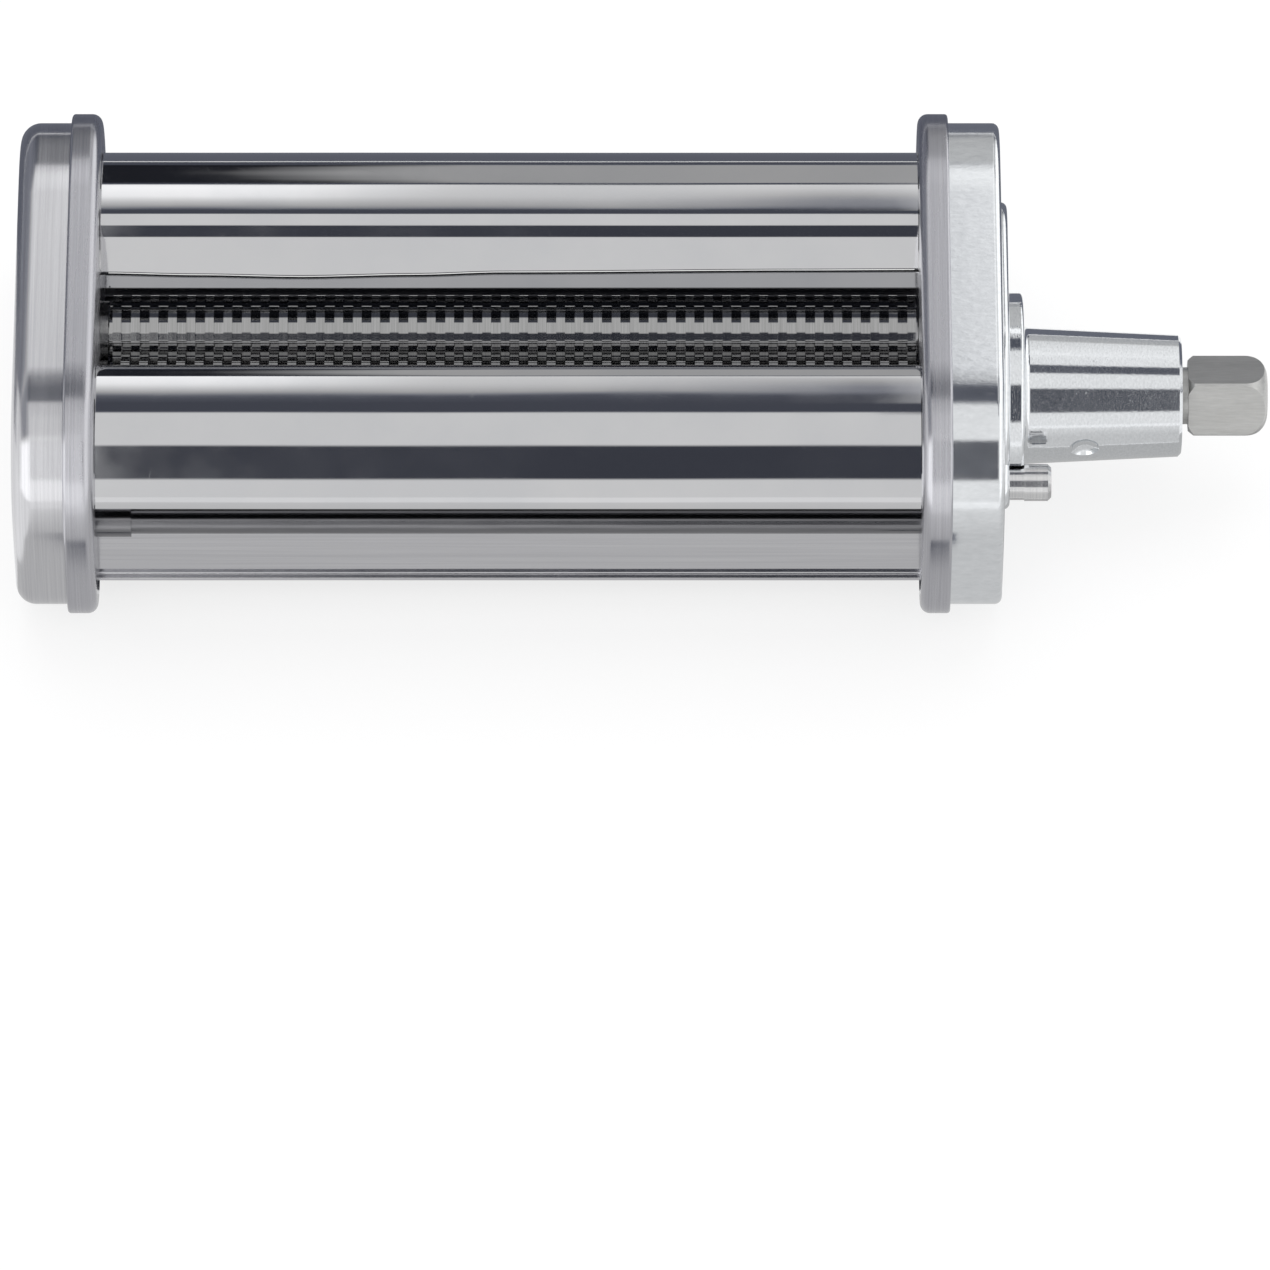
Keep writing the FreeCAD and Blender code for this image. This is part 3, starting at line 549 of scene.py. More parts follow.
def read_table(table: Sequence[Point], place: float, smooth: bool = False) -> float:
    """Reads a table of places and values.

    Args:
        table: Places in rising order, each with its value.
        place: Where to read.
        smooth: Whether the steps between the entries are smooth and not straight.

    Returns:
        The value there, or the nearest end's value outside the table.
    """
    if place <= table[0][0]:
        return table[0][1]
    for (low, first), (high, second) in zip(table, table[1:]):
        if place <= high:
            share = (place - low) / (high - low)
            return first + (second - first) * (share * share * (3 - 2 * share) if smooth else share)
    return table[-1][1]


@dataclass
class Station:
    """A point of a bent sheet's show side, with its outward direction and its distance on the path."""

    place: Vector
    outward: Vector
    along: float = 0.0

    def moved(self, step: Vector) -> "Station":
        """The station at another place, with the same direction and distance."""
        return Station(self.place + step, self.outward, self.along)


@dataclass
class SectionPath:
    """A path of straight stretches and rounded corners in a section plane, its outside on the left."""

    points: list[Point]
    radii: list[float]
    arc_step: float = math.radians(1.5)
    run_step: float = 1.0 * MM
    run_margin: float = 0.25 * MM
    least_run: float = 0.02 * MM

    def stations(self) -> list[Station]:
        """Points of the show side, close together in the bends.

        Returns:
            The stations from the first edge to the last.
        """
        corners = [Vector(point) for point in self.points]
        found: list[Station] = []
        start = corners[0]
        for index, radius in enumerate(self.radii):
            corner = corners[index + 1]
            before = (corners[index] - corner).normalized()
            after = (corners[index + 2] - corner).normalized()
            half = before.angle(after) / 2
            reach = radius / math.tan(half)
            enter, leave = corner + before * reach, corner + after * reach
            centre = corner + (before + after).normalized() * (radius / math.sin(half))
            found += self._run(start, enter, -before)
            found += self._arc(enter, centre, -before, after)
            start = leave
        found += self._run(start, corners[-1], (corners[-1] - corners[-2]).normalized())
        for before, after in zip(found, found[1:]):
            after.along = before.along + (after.place - before.place).length
        return found

    def _run(self, start: Vector, end: Vector, along: Vector) -> list[Station]:
        """Stations of a straight stretch, with one close to each end.

        Args:
            start: First point.
            end: Last point.
            along: Direction of the stretch.

        Returns:
            The stations with both ends, or the one place where two bends meet.
        """
        length = (end - start).dot(along)
        if length < self.least_run:
            return [Station(start, left_of(along))]
        margin = min(self.run_margin, length / 4)
        count = max(1, round((length - 2 * margin) / self.run_step))
        inner = [margin + (length - 2 * margin) * k / count for k in range(count + 1)]
        return [Station(start + along * at, left_of(along)) for at in [0.0, *inner, length]]

    def _arc(self, enter: Vector, centre: Vector, heading: Vector, leaving: Vector) -> list[Station]:
        """Stations of a bend, without its two ends.

        Args:
            enter: Point where the bend starts.
            centre: Centre of the bend.
            heading: Direction at the start.
            leaving: Direction at the end.

        Returns:
            The stations between the ends.
        """
        turn = math.atan2(heading.x * leaving.y - heading.y * leaving.x, heading.dot(leaving))
        count = max(2, math.ceil(abs(turn) / self.arc_step))
        outward, spoke = left_of(heading), enter - centre
        return [Station(centre + turned(spoke, turn * k / count), turned(outward, turn * k / count))
                for k in range(1, count)]


@dataclass
class BentSheet:
    """A sheet bent along X: its section path, thickness and the tabs that hold it in the side frames."""

    path: SectionPath
    thickness: float
    start: float
    end: float
    tabs: list[tuple[float, float, float, float]]
    lip_wander: Table = ()
    head_wander: Table = ()
    seam: Triple | None = None
    tab_reach: float = 2.5 * MM
    edge_round: float = 0.22 * MM
    edge_steps: int = 4
    seam_edge: float = 0.02 * MM
    columns: int = 54

    def places(self) -> list[float]:
        """Stations along X, closer together at the seam if there is one.

        Returns:
            The places from the start to the end.
        """
        step = (self.end - self.start) / self.columns
        found = [self.start + step * k for k in range(self.columns + 1)]
        if self.seam is not None:
            first, width, _ = self.seam
            found += [first - self.seam_edge, first, first + width, first + width + self.seam_edge]
        return sorted(found)

    def sunk(self, x: float) -> float:
        """Depth of the show side below its plain form at one place along the sheet.

        Args:
            x: The place.

        Returns:
            The depth of the seam, or nothing beside it.
        """
        if self.seam is None:
            return 0.0
        first, width, depth = self.seam
        inside = first - self.seam_edge / 2 < x < first + width + self.seam_edge / 2
        return depth if inside else 0.0

    def drawn_out(self, stations: list[Station], x: float) -> list[Station]:
        """The stations at one place along the sheet, with the ends drawn out or back as they wander.

        Args:
            stations: Stations of the show side.
            x: Place along the sheet.

        Returns:
            The stations there.
        """
        last = stations[-1]
        if self.head_wander:
            way = (last.place - stations[0].place).normalized() * read_table(self.head_wander, x, True)
            return [s.moved(way * (1 - s.along / last.along)) for s in stations]
        if not self.lip_wander:
            return stations
        way = (last.place - stations[-2].place).normalized() * read_table(self.lip_wander, x, True)
        root = next(s.along for s in stations if s.outward.angle(last.outward) < self.path.arc_step / 2)
        return [s.moved(way * (max(0.0, s.along - root) / (last.along - root))) for s in stations]

    def _edge(self, station: Station, heading: Vector) -> list[Vector]:
        """The rounded free edge of the sheet at one end of its path.

        Args:
            station: The last station on that side.
            heading: Direction in which the path ends.

        Returns:
            Points from the show side round to the back.
        """
        size, outward = self.edge_round, station.outward
        found = []
        for depth, first, second in ((size, outward, heading), (self.thickness - size, heading, -outward)):
            centre = station.place - heading * size - outward * depth
            for k in range(self.edge_steps + 1):
                angle = math.pi / 2 * k / self.edge_steps
                found.append(centre + size * (first * math.cos(angle) + second * math.sin(angle)))
        return found

    def loop(self, stations: list[Station], sunk: float) -> list[Vector]:
        """The closed section of the sheet.

        Args:
            stations: Stations of the show side.
            sunk: Depth of the show side between its edges below its plain form.

        Returns:
            Points round the section: show side, last edge, back and first edge.
        """
        last_heading = (stations[-1].place - stations[-2].place).normalized()
        first_heading = (stations[0].place - stations[1].place).normalized()
        show = [station.place - station.outward * sunk for station in stations[1:-1]]
        back = [station.place - station.outward * self.thickness for station in stations[1:-1]]
        return (show + self._edge(stations[-1], last_heading) + back[::-1]
                + self._edge(stations[0], first_heading)[::-1])

    def tab_loops(self, stations: list[Station]) -> list[list[Vector]]:
        """The closed sections of the tabs.

        Args:
            stations: Stations of the show side.

        Returns:
            One loop for each tab window.
        """
        loops = []
        for y_low, y_high, z_low, z_high in self.tabs:
            inside = [s for s in stations if y_low <= s.place.x <= y_high and z_low <= s.place.y <= z_high]
            back = [s.place - s.outward * self.thickness for s in inside]
            loops.append([s.place for s in inside] + back[::-1])
        return loops


class MeshShop:
    """Turns section loops into smooth closed meshes."""

    sharp_angle = math.radians(32.0)
    weld = 0.001 * MM

    def __init__(self) -> None:
        """Starts with no points and no faces."""
        self.points: list[Triple] = []
        self.faces: list[list[int]] = []

    def number(self, points: Sequence[Triple]) -> list[int]:
        """Adds points and gives their numbers."""
        self.points += points
        return list(range(len(self.points) - len(points), len(self.points)))

    def ring(self, x: float, section: Sequence[Vector]) -> list[int]:
        """Adds the points (y, z) of a ring in the section plane at x and gives their numbers."""
        return self.number([(x, point.x, point.y) for point in section])

    def skin(self, rings: Sequence[Sequence[int]], closed: bool = True) -> None:
        """Joins rings of equal length, each to the next.

        Args:
            rings: The rings' point numbers.
            closed: Whether the last point of a ring is joined to its first.
        """
        for low, high in zip(rings, rings[1:]):
            for k in range(len(low) if closed else len(low) - 1):
                after = (k + 1) % len(low)
                self.faces.append([low[k], low[after], high[after], high[k]])

    def bar(self, rings: Sequence[list[int]]) -> None:
        """Joins rings and closes the first and the last one."""
        self.skin(rings)
        self.faces += [rings[0][::-1], rings[-1]]

    def sweep(self, loops: Sequence[Sequence[Vector]], columns: Sequence[float]) -> None:
        """Adds a closed bar through one section loop of equal length at each place along X."""
        self.bar([self.ring(x, loop) for x, loop in zip(columns, loops)])

    def mirror(self, middle: float) -> None:
        """Mirrors all surfaces in a plane of constant y."""
        self.points = [(x, 2 * middle - y, z) for x, y, z in self.points]
        self.faces = [face[::-1] for face in self.faces]

    def take(self, other: "MeshShop") -> None:
        """Adds the surfaces of another shop."""
        numbers = self.number(other.points)
        self.faces += [[numbers[k] for k in face] for face in other.faces]

    def closed(self, name: str) -> Piece:
        """Makes the object from surfaces that share their edges, with all faces outwards.

        Args:
            name: Name of the piece.

        Returns:
            The new object, linked to the scene.
        """
        piece = self.finish(name)
        shell = bmesh.new()
        shell.from_mesh(piece.data)
        bmesh.ops.remove_doubles(shell, verts=shell.verts, dist=self.weld)
        bmesh.ops.recalc_face_normals(shell, faces=shell.faces)
        shell.to_mesh(piece.data)
        shell.free()
        piece.data.set_sharp_from_angle(angle=self.sharp_angle)
        return piece

    def finish(self, name: str) -> Piece:
        """Makes the object.

        Args:
            name: Name of the piece.

        Returns:
            The new object, linked to the scene.
        """
        mesh = bpy.data.meshes.new(name)
        mesh.from_pydata(self.points, [], self.faces)
        mesh.polygons.foreach_set("use_smooth", [True] * len(mesh.polygons))
        mesh.set_sharp_from_angle(angle=self.sharp_angle)
        mesh.update()
        return linked(name, mesh)


def linked(name: str, data: bpy.types.ID) -> Piece:
    """Adds an object to the scene.

    Args:
        name: Name of the object.
        data: Its mesh, lamp or camera.

    Returns:
        The object.
    """
    item = bpy.data.objects.new(name, data)
    bpy.context.scene.collection.objects.link(item)
    LOG.info("%s: added", name)
    return item


@dataclass
class SubAssembly:
    """Pieces that belong together: solids that keep their own shape, and new pieces."""

    solids: ClassVar[Dressing] = ()
    new: list[tuple[Piece, Finish]] = field(default_factory=list)

    def build(self) -> None:
        """Builds the new pieces, if there are any."""

    def keep(self, piece: Piece, finish: Finish, slot: Slot, node: str | None = None) -> None:
        """Lets a new piece ride on the housing.

        Args:
            piece: The piece.
            finish: Its finish.
            slot: Its material slot, which is not used.
            node: The solid that it replaces, if any.
        """
        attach(piece, Body.HOUSING.value)
        if node is not None:
            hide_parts(node)
        self.new.append((piece, finish))

    def dress(self, shop: FinishShop) -> None:
        """Puts the finishes on the new pieces and on the solids.

        Args:
            shop: Where the finishes come from.
        """
        for piece, finish in self.new:
            shop.apply(finish, piece)
        for finish, names in self.solids:
            for name in names:
                shop.apply(finish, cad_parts[name])


@dataclass(frozen=True)
class Wave:
    """A slow wave of a rolled sheet: radians per metre both ways, phase and share of the height."""

    lengthwise: float
    across: float
    phase: float
    share: float

    def height(self, x: float, along: float) -> float:
        """Height at a place along the sheet and along its section path, as a part of the whole."""
        return self.share * math.sin(self.lengthwise * x + self.across * along + self.phase)


@dataclass
class SheetPanels(SubAssembly):
    """The bright covers, the guide strips under their lips and the aprons, front and rear alike."""

    middle: float = 7.3 * MM
    start: float = -182.5 * MM
    end: float = -20.5 * MM
    sheet: float = 0.9 * MM
    cover_top: float = 23.9 * MM
    front_flat_inner: float = 20.75 * MM
    rear_flat_inner: float = 20.85 * MM
    cover_flat_outer: float = 26.1 * MM
    cover_radius: float = 18.3 * MM
    cover_bend: float = 6.4 * MM
    cover_edge_angle: float = 20.5
    cover_lip: float = 15.5 * MM
    cover_crown: float = 80.0 * MM
    cover_crown_angle: float = 1.75
    cover_gap: float = 0.15 * MM
    rear_lip_wander: Table = (
        (-182.5 * MM, 0.25 * MM), (-162.8 * MM, 0.65 * MM), (-143.0 * MM, 1.0 * MM),
        (-120.0 * MM, 0.55 * MM), (-103.0 * MM, 0.05 * MM), (-44.0 * MM, -0.35 * MM),
        (-20.5 * MM, -0.45 * MM))
    funnel_angle: float = 55.0
    guide_sheet: float = 1.2 * MM
    guide_gap: float = 0.75 * MM
    guide_angle: float = 57.0
    guide_reach: float = 3.9 * MM
    seam_place: float = 1.9 * MM
    seam_width: float = 0.4 * MM
    seam_depth: float = 0.5 * MM
    apron_offset: float = 40.5 * MM
    apron_joggle: float = 3.3 * MM
    apron_shelf: float = 0.77 * MM
    apron_top: float = 12.5 * MM
    apron_foot: float = -14.1 * MM
    apron_lip: float = 1.2 * MM
    apron_lip_radius: float = 0.5 * MM
    apron_outer_bend: float = 1.45 * MM
    apron_inner_bend: float = 1.0 * MM
    tab_height: float = 6.0 * MM
    wave_height: float = 0.02 * MM
    waves: tuple[Wave, ...] = (Wave(41.0, 95.0, 0.6, 0.65), Wave(97.0, -160.0, 2.1, 0.35))

    def cover(self, side: Side) -> BentSheet:
        """Lower edge, shoulder, lightly crowned crest and funnel of a cover.

        Args:
            side: The side on which it lies.

        Returns:
            The bent sheet, drawn for the front side.
        """
        slope, edge = math.radians(self.funnel_angle), math.radians(self.cover_edge_angle)
        fall = math.tan(math.radians(self.cover_crown_angle))
        reach = self.cover_radius * math.tan((math.pi / 2 - edge) / 2)
        flat_inner = self.front_flat_inner if side is Side.FRONT else self.rear_flat_inner
        half = (self.cover_flat_outer - flat_inner) / 2
        crown = (self.middle - flat_inner - half, self.cover_top)
        shoulder = (crown[0] - half - reach, self.cover_top - fall * (half + reach))
        inner = half + self.cover_bend * math.tan(slope / 2)
        crest = (crown[0] + inner, self.cover_top - fall * inner)
        run = reach + self.sheet
        lower = (shoulder[0] - run * math.sin(edge), self.cover_top - run * math.cos(edge))
        lip = (crest[0] + (crest[1] - self.cover_lip) / math.tan(slope), self.cover_lip)
        flat_tab = (crown[0] - half, crown[0] + half,
                    self.cover_top - self.sheet, self.cover_top + self.sheet)
        low_tab = (lower[0] - self.tab_height, crown[0] - half,
                   lower[1] + self.sheet, lower[1] + self.sheet + self.tab_height)
        wander = self.rear_lip_wander if side is Side.REAR else ()
        path = SectionPath([lower, shoulder, crown, crest, lip],
                           [self.cover_radius, self.cover_crown, self.cover_bend])
        return BentSheet(path, self.sheet, self.start + self.cover_gap, self.end - self.cover_gap,
                         [flat_tab, low_tab], wander)

    def guide(self, side: Side) -> BentSheet:
        """The strip behind a cover's lip that carries the funnel on towards the cutters.

        Args:
            side: The side on which it lies.

        Returns:
            The bent sheet, drawn for the front side.
        """
        slope, fall = math.radians(self.funnel_angle), math.radians(self.guide_angle)
        lip = self.cover(side).path.points[-1]
        behind = (lip[0] - self.sheet * math.sin(slope), lip[1] - self.sheet * math.cos(slope))
        head, foot = ((behind[0] + reach * math.cos(fall), behind[1] - reach * math.sin(fall))
                      for reach in (self.guide_gap, self.guide_reach))
        third = (head[1] - foot[1]) / 3
        tab = (head[0] - self.tab_height, foot[0] + self.tab_height, foot[1] + third, head[1] - third)
        seam = (self.start + self.seam_place - self.seam_width / 2, self.seam_width, self.seam_depth)
        wander = self.rear_lip_wander if side is Side.REAR else ()
        return BentSheet(SectionPath([head, foot], []), self.guide_sheet, self.start, self.end, [tab],
                         head_wander=wander, seam=seam)

    def apron(self, _side: Side) -> BentSheet:
        """Bottom lip, front wall, joggle and upper wall of an apron.

        Args:
            _side: The side on which it lies, which makes no difference to it.

        Returns:
            The bent sheet, drawn for the front side.
        """
        wall = self.middle - self.apron_offset
        upper = wall + self.apron_joggle
        points = [(wall - self.apron_lip, self.apron_foot), (wall, self.apron_foot),
                  (wall, self.apron_shelf), (upper, self.apron_shelf), (upper, self.apron_top)]
        radii = [self.apron_lip_radius, self.apron_outer_bend, self.apron_inner_bend]
        centre = (self.apron_foot + self.apron_shelf) / 2
        tab = (wall - self.tab_height, wall + self.tab_height / 2,
               centre - self.tab_height / 2, centre + self.tab_height / 2)
        return BentSheet(SectionPath(points, radii), self.sheet, self.start, self.end, [tab])

    def panel(self, name: str, sheet: BentSheet, side: Side) -> Piece:
        """Builds one sheet piece with its tabs.

        Args:
            name: Name of the piece.
            sheet: Its section and ends, drawn for the front side.
            side: The side on which it lies.

        Returns:
            The piece.
        """
        shop, stations, columns, loops = MeshShop(), sheet.path.stations(), sheet.places(), []
        for x in columns:
            waved = []
            for station in sheet.drawn_out(stations, x):
                height = self.wave_height * sum(wave.height(x, station.along) for wave in self.waves)
                waved.append(station.moved(station.outward * height))
            loops.append(sheet.loop(waved, sheet.sunk(x)))
        shop.sweep(loops, columns)
        for tab in sheet.tab_loops(stations):
            shop.sweep([tab, tab], [sheet.start - sheet.tab_reach, sheet.start])
            shop.sweep([tab, tab], [sheet.end, sheet.end + sheet.tab_reach])
        if side is Side.REAR:
            shop.mirror(self.middle)
        return shop.finish(name)

    def build(self) -> None:
        """Builds the six panels in place of their plain solids."""
        for kind, draw, finish in (
                ("cover", self.cover, BRIGHT_SHEET), ("guide", self.guide, BRIGHT_SHEET),
                ("apron", self.apron, APRON_SHEET)):
            for side in Side:
                node = f"{side.value}_{kind}"
                panel = self.panel(f"{node}_panel", draw(side), side)
                self.keep(panel, finish, Slot.BRIGHT_SHEET, node)


@dataclass(frozen=True)
class EndPlanes:
    """Planes of one end along X: the cap's face, its rim and the inner face of the side frame."""

    face: float
    rim: float
    frame_inner: float

    def inwards(self) -> float:
        """Direction along X from the cap's face into the attachment, 1 or -1."""
        return math.copysign(1.0, self.rim - self.face)


@dataclass
class EndCaps(SubAssembly):
    """The end caps and the side frames that they close, drawn finer than the solids, and the screws."""

    solids: ClassVar[Dressing] = ((ZINC_STEEL, ("left_cap_screws", "right_cap_screws")),)
    middle: float = 7.3 * MM
    half_width: float = 48.9 * MM
    top: float = 30.0 * MM
    bottom: float = -19.8 * MM
    bottom_radius: float = 10.2 * MM
    front_crown_radius: float = 75.0 * MM
    rear_crown_radius: float = 110.0 * MM
    crown_angle: float = 3.2
    turns: Table = ((39.8 * MM, 8.0), (21.5 * MM, 90.0))
    wall: float = 2.0 * MM
    overhang: float = 1.8 * MM
    inner_round: float = 2.0 * MM
    outer_round: float = 0.6 * MM
    left: EndPlanes = EndPlanes(-198.6 * MM, -188.4 * MM, -182.5 * MM)
    right: EndPlanes = EndPlanes(-4.4 * MM, -14.6 * MM, -20.5 * MM)
    left_edge: float = 4.0 * MM
    right_edge: float = 1.4 * MM
    drive_axis: Point = (0.0, 0.0)
    bush_hole: float = 5.8 * MM
    spigot_hole: float = 10.5 * MM
    boss_places: Table = (
        (-25.7 * MM, 16.0 * MM), (40.3 * MM, 16.0 * MM), (-25.7 * MM, -7.0 * MM), (40.3 * MM, -7.0 * MM))
    boss_radius: float = 3.4 * MM
    boss_hole: float = 1.55 * MM
    boss_hole_depth: float = 6.1 * MM
    pad_rise: float = 1.5 * MM
    pad_round: float = 1.2 * MM
    pad_head: float = 21.6 * MM
    pad_tail: Triple = (26.0 * MM, 6.0 * MM, 14.0 * MM)
    pin_boss: Triple = (-21.4 * MM, 0.0, 5.25 * MM)
    outline_step: float = 4.0 * MM
    round_steps: int = 24
    hole_steps: int = 48
    pad_steps: int = 192
    flat_margin: float = 0.25 * MM

    def half_outline(self, side: Side) -> list[Station]:
        """Half of the caps' outline, whose top corner turns in ever tighter steps.

        Args:
            side: Which half.

        Returns:
            The stations from the bottom middle up to the top middle, drawn for the front.
        """
        corners: list[Point] = []
        crown = self.front_crown_radius if side is Side.FRONT else self.rear_crown_radius
        turns = ((crown, self.crown_angle), *self.turns)
        out, z, lean, reach = 0.0, self.top, 0.0, 0.0
        for radius, turn in turns:
            tangent = radius * math.tan((math.radians(turn) - lean) / 2)
            out += (reach + tangent) * math.cos(lean)
            z -= (reach + tangent) * math.sin(lean)
            corners.append((out, z))
            reach, lean = tangent, math.radians(turn)
        front = self.middle - self.half_width
        widest = corners[-1][0]
        path = [(front + widest - out, z) for out, z in reversed(corners)]
        radii = [radius for radius, _ in reversed(turns)]
        points = [(self.middle, self.bottom), (front, self.bottom), *path, (self.middle, self.top)]
        return SectionPath(points, [self.bottom_radius, *radii], run_step=self.outline_step).stations()

    def outline(self, grow: float) -> list[Vector]:
        """Points round the whole outline, moved outwards by a distance."""
        front, rear = ([s.place + s.outward * grow for s in self.half_outline(side)] for side in Side)
        return front + [Vector((2 * self.middle - point.x, point.y)) for point in reversed(rear[1:-1])]

    def facing(self, radius: float, ring: Sequence[Vector]) -> list[Vector]:
        """A circle round the drive axis whose points lie in the same directions as those of a ring."""
        middle = Vector(self.drive_axis)
        return [middle + (point - middle).normalized() * radius for point in ring]

    def rounding(self, radius: float) -> list[Point]:
        """Steps of a rounded edge: how far each lies behind the face and inside the wall."""
        turns = [math.pi / 2 * k / self.round_steps for k in range(self.round_steps + 1)]
        return [(radius * (1 - math.sin(turn)), radius * (1 - math.cos(turn))) for turn in turns]

    def cap_profile(self, planes: EndPlanes, edge: float) -> list[Point]:
        """Stations of a cap's wall from the middle of its inside over the rim to its face.

        Args:
            planes: Planes of that end.
            edge: Radius of the cap's edge.

        Returns:
            Place along X and growth of the outline at each ring.
        """
        face, rim, back = planes.face, planes.rim, planes.inwards()
        inner = max(edge - self.wall, self.wall / 2)
        floor = face + back * self.wall
        inside = [(floor + back * depth, -self.wall - inset)
                  for depth, inset in reversed(self.rounding(inner))]
        outside = [(face + back * depth, -inset) for depth, inset in self.rounding(edge)]
        return [(floor, -self.wall - inner - self.flat_margin), *inside,
                (floor + back * (inner + self.flat_margin), -self.wall), (rim, -self.wall), (rim, 0.0),
                (face + back * (edge + self.flat_margin), 0.0), *outside,
                (face, -edge - self.flat_margin)]

    def _bosses(self, shop: MeshShop, planes: EndPlanes) -> None:
        """Adds the bosses that take the cap screws.

        Args:
            shop: Where the mesh grows.
            planes: Planes of that end.
        """
        rim, back = planes.rim, planes.inwards()
        profile = [(planes.face + back * self.wall / 2, self.boss_radius), (rim, self.boss_radius),
                   (rim, self.boss_hole), (rim - back * self.boss_hole_depth, self.boss_hole)]
        for centre in self.boss_places:
            shop.bar([shop.ring(x, self._circle(centre, radius)) for x, radius in profile])

    def _circle(self, centre: Point, radius: float) -> list[Vector]:
        """Points of a circle in a section plane."""
        turns = (2 * math.pi * k / self.hole_steps for k in range(self.hole_steps))
        return [Vector(centre) + Vector((math.cos(turn), math.sin(turn))) * radius for turn in turns]

    def left_cap(self) -> Piece:
        """The plain shell at the left end.

        Returns:
            The piece.
        """
        shop = MeshShop()
        profile = self.cap_profile(self.left, self.left_edge)
        shop.bar([shop.ring(x, self.outline(grow)) for x, grow in profile])
        self._bosses(shop, self.left)
        return shop.closed("left_cap_shell")

    def right_cap(self) -> Piece:
        """The shell at the drive end, open round the hub's spigot and with the hub's raised pad.

        Returns:
            The piece.
        """
        shop, face = MeshShop(), self.right.face
        profile = self.cap_profile(self.right, self.right_edge)
        rings = [shop.ring(x, self.outline(grow)) for x, grow in profile]
        hole = self.facing(self.spigot_hole, self.outline(0.0))
        shop.skin([*rings, shop.ring(face, hole), shop.ring(profile[0][0], hole), rings[0]])
        self._bosses(shop, self.right)
        pad_face, root = face + self.pad_rise, face - self.right_edge
        edge = self.pad_outline()
        inwards = [left_of((after - before).normalized())
                   for before, after in zip(edge[-1:] + edge[:-1], edge[1:] + edge[:1])]
        steps = [(root, 0.0),
                 *((pad_face - depth, inset) for depth, inset in self.rounding(self.pad_round)),
                 (pad_face, self.pad_round + self.flat_margin)]
        pad = [shop.ring(x, [point + way * inset for point, way in zip(edge, inwards)])
               for x, inset in steps]
        bore = self.facing(self.spigot_hole, edge)
        shop.skin([*pad, shop.ring(pad_face, bore), shop.ring(root, bore), pad[0]])
        return shop.closed("right_cap_shell")

    def pad_outline(self) -> list[Vector]:
        """The pad's edge: a belt round collar and tail, with the pin's boss, cut at the cap's edge.

        Returns:
            Points round the edge, anticlockwise.
        """
        tail_y, tail_z, tail_radius = self.pad_tail
        shares = [k / self.round_steps for k in range(self.round_steps + 1)]
        belt = [(tail_y * share, tail_z * share, self.pad_head + (tail_radius - self.pad_head) * share)
                for share in shares]
        limit = sorted((math.atan2(p.y, p.x), p.length) for p in self.outline(0.0))
        found = []
        for k in range(self.pad_steps):
            turn = 2 * math.pi * (k + 0.5) / self.pad_steps - math.pi
            way = Vector((math.cos(turn), math.sin(turn)))
            reach = 0.0
            for y, z, radius in (*belt, self.pin_boss):
                ahead = way.dot(Vector((y, z)))
                room = radius * radius - (y * y + z * z - ahead * ahead)
                if room > 0.0:
                    reach = max(reach, ahead + math.sqrt(room))
            nearest = min(limit, key=lambda entry: abs(entry[0] - turn))
            found.append(way * min(reach, nearest[1]))
        return found

    def side_frame(self, name: str, planes: EndPlanes) -> Piece:
        """A side plate with the holes of its two bushes.

        Args:
            name: Name of the piece.
            planes: Planes of that end.

        Returns:
            The piece.
        """
        outer, inner, back = planes.rim, planes.frame_inner, -planes.inwards()
        profile = [(inner + back * depth, self.overhang - inset)
                   for depth, inset in reversed(self.rounding(self.inner_round))]
        profile += [(inner + back * (self.inner_round + self.flat_margin), self.overhang),
                    (outer - back * (self.outer_round + self.flat_margin), self.overhang)]
        profile += [(outer - back * depth, self.overhang - inset)
                    for depth, inset in self.rounding(self.outer_round)]
        shop = MeshShop()
        for side in Side:
            shop.take(self._half_frame(side, profile))
        return shop.closed(name)

    def _half_frame(self, side: Side, profile: Sequence[Point]) -> MeshShop:
        """The half of a side plate round one bush, open at the middle plane.

        Args:
            side: Which half.
            profile: Place along X and growth of the outline at each ring.

        Returns:
            The shop with its surfaces.
        """
        half, shop, holes = self.half_outline(side), MeshShop(), []
        edges = [[s.place + s.outward * grow for s in half] for _, grow in profile]
        rings = [shop.ring(x, edge) for (x, _), edge in zip(profile, edges)]
        shop.skin(rings, closed=False)
        for end in (0, -1):
            x, edge = profile[end][0], edges[end]
            low, high = edge[0].y, edge[-1].y
            line = [Vector((self.middle, high + (low - high) * k / self.round_steps))
                    for k in range(1, self.round_steps)]
            holes.append(shop.ring(x, self.facing(self.bush_hole, edge + line)))
            shop.skin([rings[end] + shop.ring(x, line), holes[-1]])
        shop.skin(holes)
        if side is Side.REAR:
            shop.mirror(self.middle)
        return shop

    def build(self) -> None:
        """Builds the caps and the frames in place of their plain solids."""
        for node, piece, finish in (
                ("left_end_cap", self.left_cap(), SATIN_STEEL),
                ("right_end_cap", self.right_cap(), CAP_POLISH),
                ("left_side_frame", self.side_frame("left_frame_plate", self.left), FRAME_STEEL),
                ("right_side_frame", self.side_frame("right_frame_plate", self.right), FRAME_STEEL)):
            self.keep(piece, finish, Slot.SATIN_STEEL, node)


